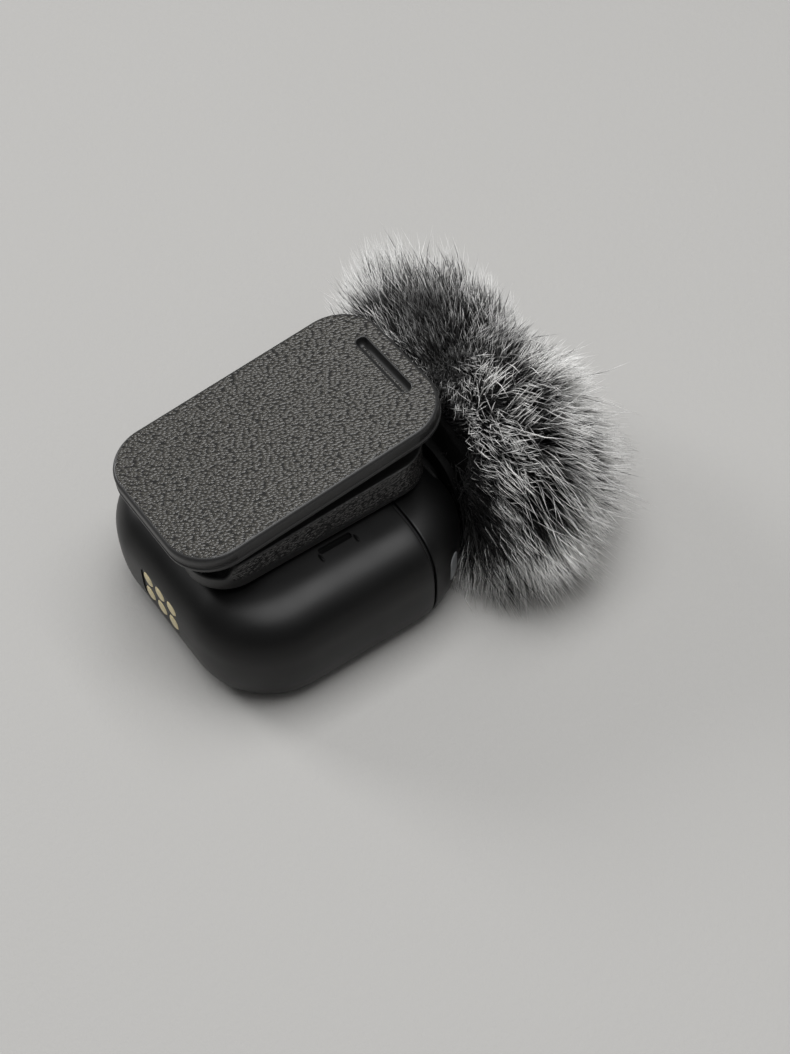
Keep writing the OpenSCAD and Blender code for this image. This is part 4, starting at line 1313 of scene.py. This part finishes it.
    def strands(self, name: str, line: Array, tone_and_painted_shade: Array, rng: Chance) -> bpy.types.Object:
        """One mesh of tapering three-sided tubes along centre lines.

        Each ring has three points round the line's own direction, and the last ring is a
        single point.

        Args:
            name: The piece's name.
            line: Centre lines, shaped (hairs, stations, 3).
            tone_and_painted_shade: One number a hair for the second coordinate of its map.
            rng: Source of the random numbers.

        Returns:
            The linked object.
        """
        count, rings = line.shape[0], line.shape[1] - 1
        ahead = unit(np.gradient(line, axis=1))
        side = unit(np.cross(ahead, rng.normal(0, 1, (count, 1, 3))))
        over = np.cross(ahead, side)
        size = self.thickness * rng.uniform(0.75, 1.3, (count, 1)) * np.array([self.swell])
        turn = (np.arange(3) * 2 * np.pi / 3)[:, None]
        body = line[:, :rings, None] + size[:, :, None, None] * (
            np.cos(turn) * side[:, :rings, None] + np.sin(turn) * over[:, :rings, None])
        corners = 3 * rings + 1
        points = np.concatenate([body.reshape(count, 3 * rings, 3), line[:, rings:]], axis=1)
        points[..., 2] = np.maximum(points[..., 2], 0.03)
        k = np.arange(3)
        after = (k + 1) % 3
        quads = np.concatenate([np.stack([k, after, 3 + after, 3 + k], axis=1) + 3 * r
                                for r in range(rings - 1)])
        last = 3 * rings - 3
        caps = np.array([[last, last + 1, last + 3], [last + 1, last + 2, last + 3],
                         [last + 2, last, last + 3], [2, 1, 0]])
        shape = np.concatenate([quads.ravel(), caps.ravel()])
        starts = np.concatenate([np.arange(len(quads)) * 4, quads.size + np.arange(4) * 3])
        index = (np.arange(count)[:, None] * corners + shape[None]).ravel()
        begin = (np.arange(count)[:, None] * len(shape) + starts[None]).ravel()
        mesh = bpy.data.meshes.new(name)
        mesh.vertices.add(count * corners)
        mesh.vertices.foreach_set("co", (points.reshape(-1) * MM).astype(np.float32))
        mesh.loops.add(len(index))
        mesh.loops.foreach_set("vertex_index", index.astype(np.int32))
        mesh.polygons.add(len(begin))
        mesh.polygons.foreach_set("loop_start", begin.astype(np.int32))
        mesh.update(calc_edges=True)
        station = np.append(np.repeat(self.stations[:rings], 3), 1.0)
        places = np.broadcast_arrays(station[shape], tone_and_painted_shade[:, None])
        own_map = mesh.uv_layers.new(name="strand")
        own_map.data.foreach_set("uv", np.stack(places, axis=-1).reshape(-1).astype(np.float32))
        mesh.shade_smooth()
        return linked(name, mesh)

    def pile(self) -> None:
        """All hairs, shared out over a few pieces."""
        rng = np.random.default_rng(self.seed)
        line, tone_and_painted_shade = self.curves(rng)
        parts = self.pieces
        for number, chosen in enumerate(np.array_split(np.arange(len(line)), parts)):
            piece = self.strands(f"fur_pile_{number + 1}", line[chosen], tone_and_painted_shade[chosen], rng)
            settle(piece, "windscreen", Finish.FUR, "windscreen_fur")

    def underlayer(self) -> None:
        """Dense dark core of the pile: the envelope drawn in towards the dome and roughened."""
        rows, columns = 64, 96
        polar = np.radians(np.linspace(0.6, 118, rows))[:, None, None]
        ring = np.sin(polar) * circle(columns)[None]
        aim = np.concatenate([np.cos(polar) + 0 * ring[..., :1], ring], axis=-1).reshape(-1, 3)
        rough = 1 + 0.05 * np.sin(aim[:, 1] * 23) * np.sin(aim[:, 2] * 19 + 1)
        rough += 0.04 * np.sin(aim[:, 0] * 31)
        reach = 2.6 + 0.5 * (self.lobes.reach(aim) - 2.6) * rough
        points = np.array(self.lobes.middle) + aim * reach[:, None]
        points[:, 0] = np.maximum(points[:, 0], self.fur_back + 0.1 * rough)
        points[:, 2] = np.maximum(points[:, 2], 0.3)
        piece = make_object("fur_underlayer", loft(points.reshape(rows, columns, 3)[::-1]), 60)
        settle(piece, "windscreen", Finish.FUR, own=Underfur().build())

    def dome(self, edge: float, radius: float, depth: float, tip: float, count: int) -> Solid:
        """Half-round body of revolution round the microphone's axis, with a soft lower edge."""
        turn = np.linspace(0, QUARTER, 24)[1:-1]
        radii = np.concatenate([[edge, radius], radius * np.cos(turn), [0.05]])
        back = self.dome_back
        stations = np.concatenate([[back - 0.1, back], back + depth * np.sin(turn), [tip]])
        return moved(along_x(lathe(radii, stations, count)), 0, 0, self.cap_level)

    def core(self) -> None:
        """Knitted dome and the foam inside it."""
        knit = self.dome(5.2, self.dome_radius, 7.05, 21.7, 72)
        backing = make_object("knitted_dome", knit)
        settle(backing, "windscreen", Finish.KNIT, "windscreen_backing")
        foam = make_object("foam_core", self.dome(4.8, 5.0, 6.45, 21.08, 64))
        settle(foam, "windscreen", Finish.FOAM, "windscreen_foam")

    def build(self) -> None:
        """Makes the windscreen's soft pieces."""
        self.core()
        self.underlayer()
        self.pile()


# ---------------------------------------------------------------- inner pieces


CARRIED = {
    "contact_carrier": Finish.BLACK, "main_board": Finish.BOARD, "board_screws": Finish.STEEL,
    "shield_can": Finish.STEEL, "radio_chip": Finish.BLACK, "antenna": Finish.CERAMIC,
    "battery": Finish.BATTERY, "keeper_plate": Finish.STEEL, "tact_switches": Finish.STEEL,
    "light_emitter": Finish.CERAMIC, "front_flex": Finish.FLEX, "mic_capsule": Finish.STEEL,
    "mic_boot": Finish.RUBBER, "mic_mesh": Finish.STEEL, "clip_magnets": Finish.MAGNET,
    "lower_pad": Finish.RUBBER, "hinge_pin": Finish.STEEL, "torsion_spring": Finish.STEEL,
    "upper_pad": Finish.RUBBER, "windscreen_collar": Finish.BLACK,
}


def dress_carried() -> None:
    """Gives every carried-over CAD node its finish."""
    for node, finish in CARRIED.items():
        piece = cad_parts[node]
        piece.data.materials.clear()
        piece.data.materials.append(material(finish))
        log.info("%s has %s", node, finish.value)


def battery_pad() -> None:
    """Soft pad between battery and board, with sides that swell a little."""
    length, width, corner, low, thick, middle, bulge = 9.6, 10.4, 0.8, 4.8, 0.8, -2.0, 0.25
    rise = np.linspace(0, 1, 9)
    outlines = [box_outline(length + 2 * s, width + 2 * s, corner)
                for s in bulge * np.sin(np.pi * rise)]
    block = moved(stacked(outlines, low + thick * rise), middle, 0, 0)
    pad = make_object("battery_cushion", block, 60)
    settle(pad, "housing", Finish.FOAM, "battery_foam")


# ---------------------------------------------------------------- stage


@dataclass
class Studio:
    """Camera, pale floor and soft light.

    Each lamp is its name, its place, its side and its power. All aim at one point.
    """

    target: tuple = (6.95, -6.84, 8.0)
    bearing: float = 32.04
    elevation: float = 51.96
    roll: float = -3.59
    distance: float = 175.15
    focal_pixels: float = 2000.0
    picture_height: float = 1054.0
    sensor: float = 36.0
    floor_side: float = 3000.0
    floor_colour: tuple = (0.452, 0.446, 0.434)
    lamp_aim: tuple = (8, 0, 5)
    lamps: tuple = (("overhead", (50, 0, 500), 420, 2.45), ("near", (160, -300, 480), 300, 0.15),
                    ("far", (-150, 380, 230), 130, 0.7))
    surroundings: float = 0.34

    def camera(self) -> None:
        """Camera that looks down on the object from the contacts' side."""
        a, e, r = (math.radians(v) for v in (self.bearing, self.elevation, self.roll))
        right = Vector((math.cos(a), -math.sin(a), 0))
        back = Vector((-math.sin(a) * math.cos(e), -math.cos(a) * math.cos(e), math.sin(e)))
        up = back.cross(right)
        across = right * math.cos(r) + up * math.sin(r)
        upright = up * math.cos(r) - right * math.sin(r)
        place = (Vector(self.target) + back * self.distance) * MM
        data = bpy.data.cameras.new("camera")
        data.sensor_fit = "VERTICAL"
        data.sensor_height = self.sensor
        data.lens = self.focal_pixels * self.sensor / self.picture_height
        data.clip_start = 0.005
        camera = linked("camera", data)
        turn = Matrix((across, upright, back)).transposed()
        camera.matrix_world = Matrix.Translation(place) @ turn.to_4x4()
        bpy.context.scene.camera = camera

    def floor(self) -> None:
        """Wide pale table top."""
        corners = np.array([[-1, -1, 0], [1, -1, 0], [1, 1, 0], [-1, 1, 0]]) * self.floor_side / 2
        floor = make_object("table", (corners, [[0, 1, 2, 3]]))
        g = Graph("pale_table")
        dark = tuple(c * 0.99 for c in self.floor_colour)
        floor.data.materials.append(g.done(
            Base_Color=g.tint(g.noise(60.0, 3.0), dark, self.floor_colour), Roughness=0.6,
            Specular_IOR_Level=0.3, Normal=g.bump(g.noise(1500.0, 3.0, 0.6), 0.05)))

    def light(self) -> None:
        """Large light overhead, weak ones near and far, and dim grey surroundings."""
        for name, place, size, power in self.lamps:
            data = bpy.data.lights.new(name, "AREA")
            data.size = size * MM
            data.energy = power
            lamp = linked(name, data)
            lamp.location = Vector(place) * MM
            way = Vector(self.lamp_aim) - Vector(place)
            lamp.rotation_euler = way.to_track_quat("-Z", "Y").to_euler()
        world = bpy.data.worlds.new("surroundings")
        world.use_nodes = True
        sky = world.node_tree.nodes["Background"].inputs
        sky["Color"].default_value = (0.5, 0.5, 0.5, 1)
        sky["Strength"].default_value = self.surroundings
        bpy.context.scene.world = world

    def build(self) -> None:
        """Sets the stage."""
        self.camera()
        self.floor()
        self.light()
        bpy.context.scene.view_settings.view_transform = "Standard"


def main() -> None:
    """Builds the stage and every piece."""
    logging.basicConfig(level=logging.INFO, format="%(message)s")
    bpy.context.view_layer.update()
    Studio().build()
    dress_carried()
    battery_pad()
    Housing().build()
    Clip().build()
    Fur().build()


if __name__ == "__main__":
    main()
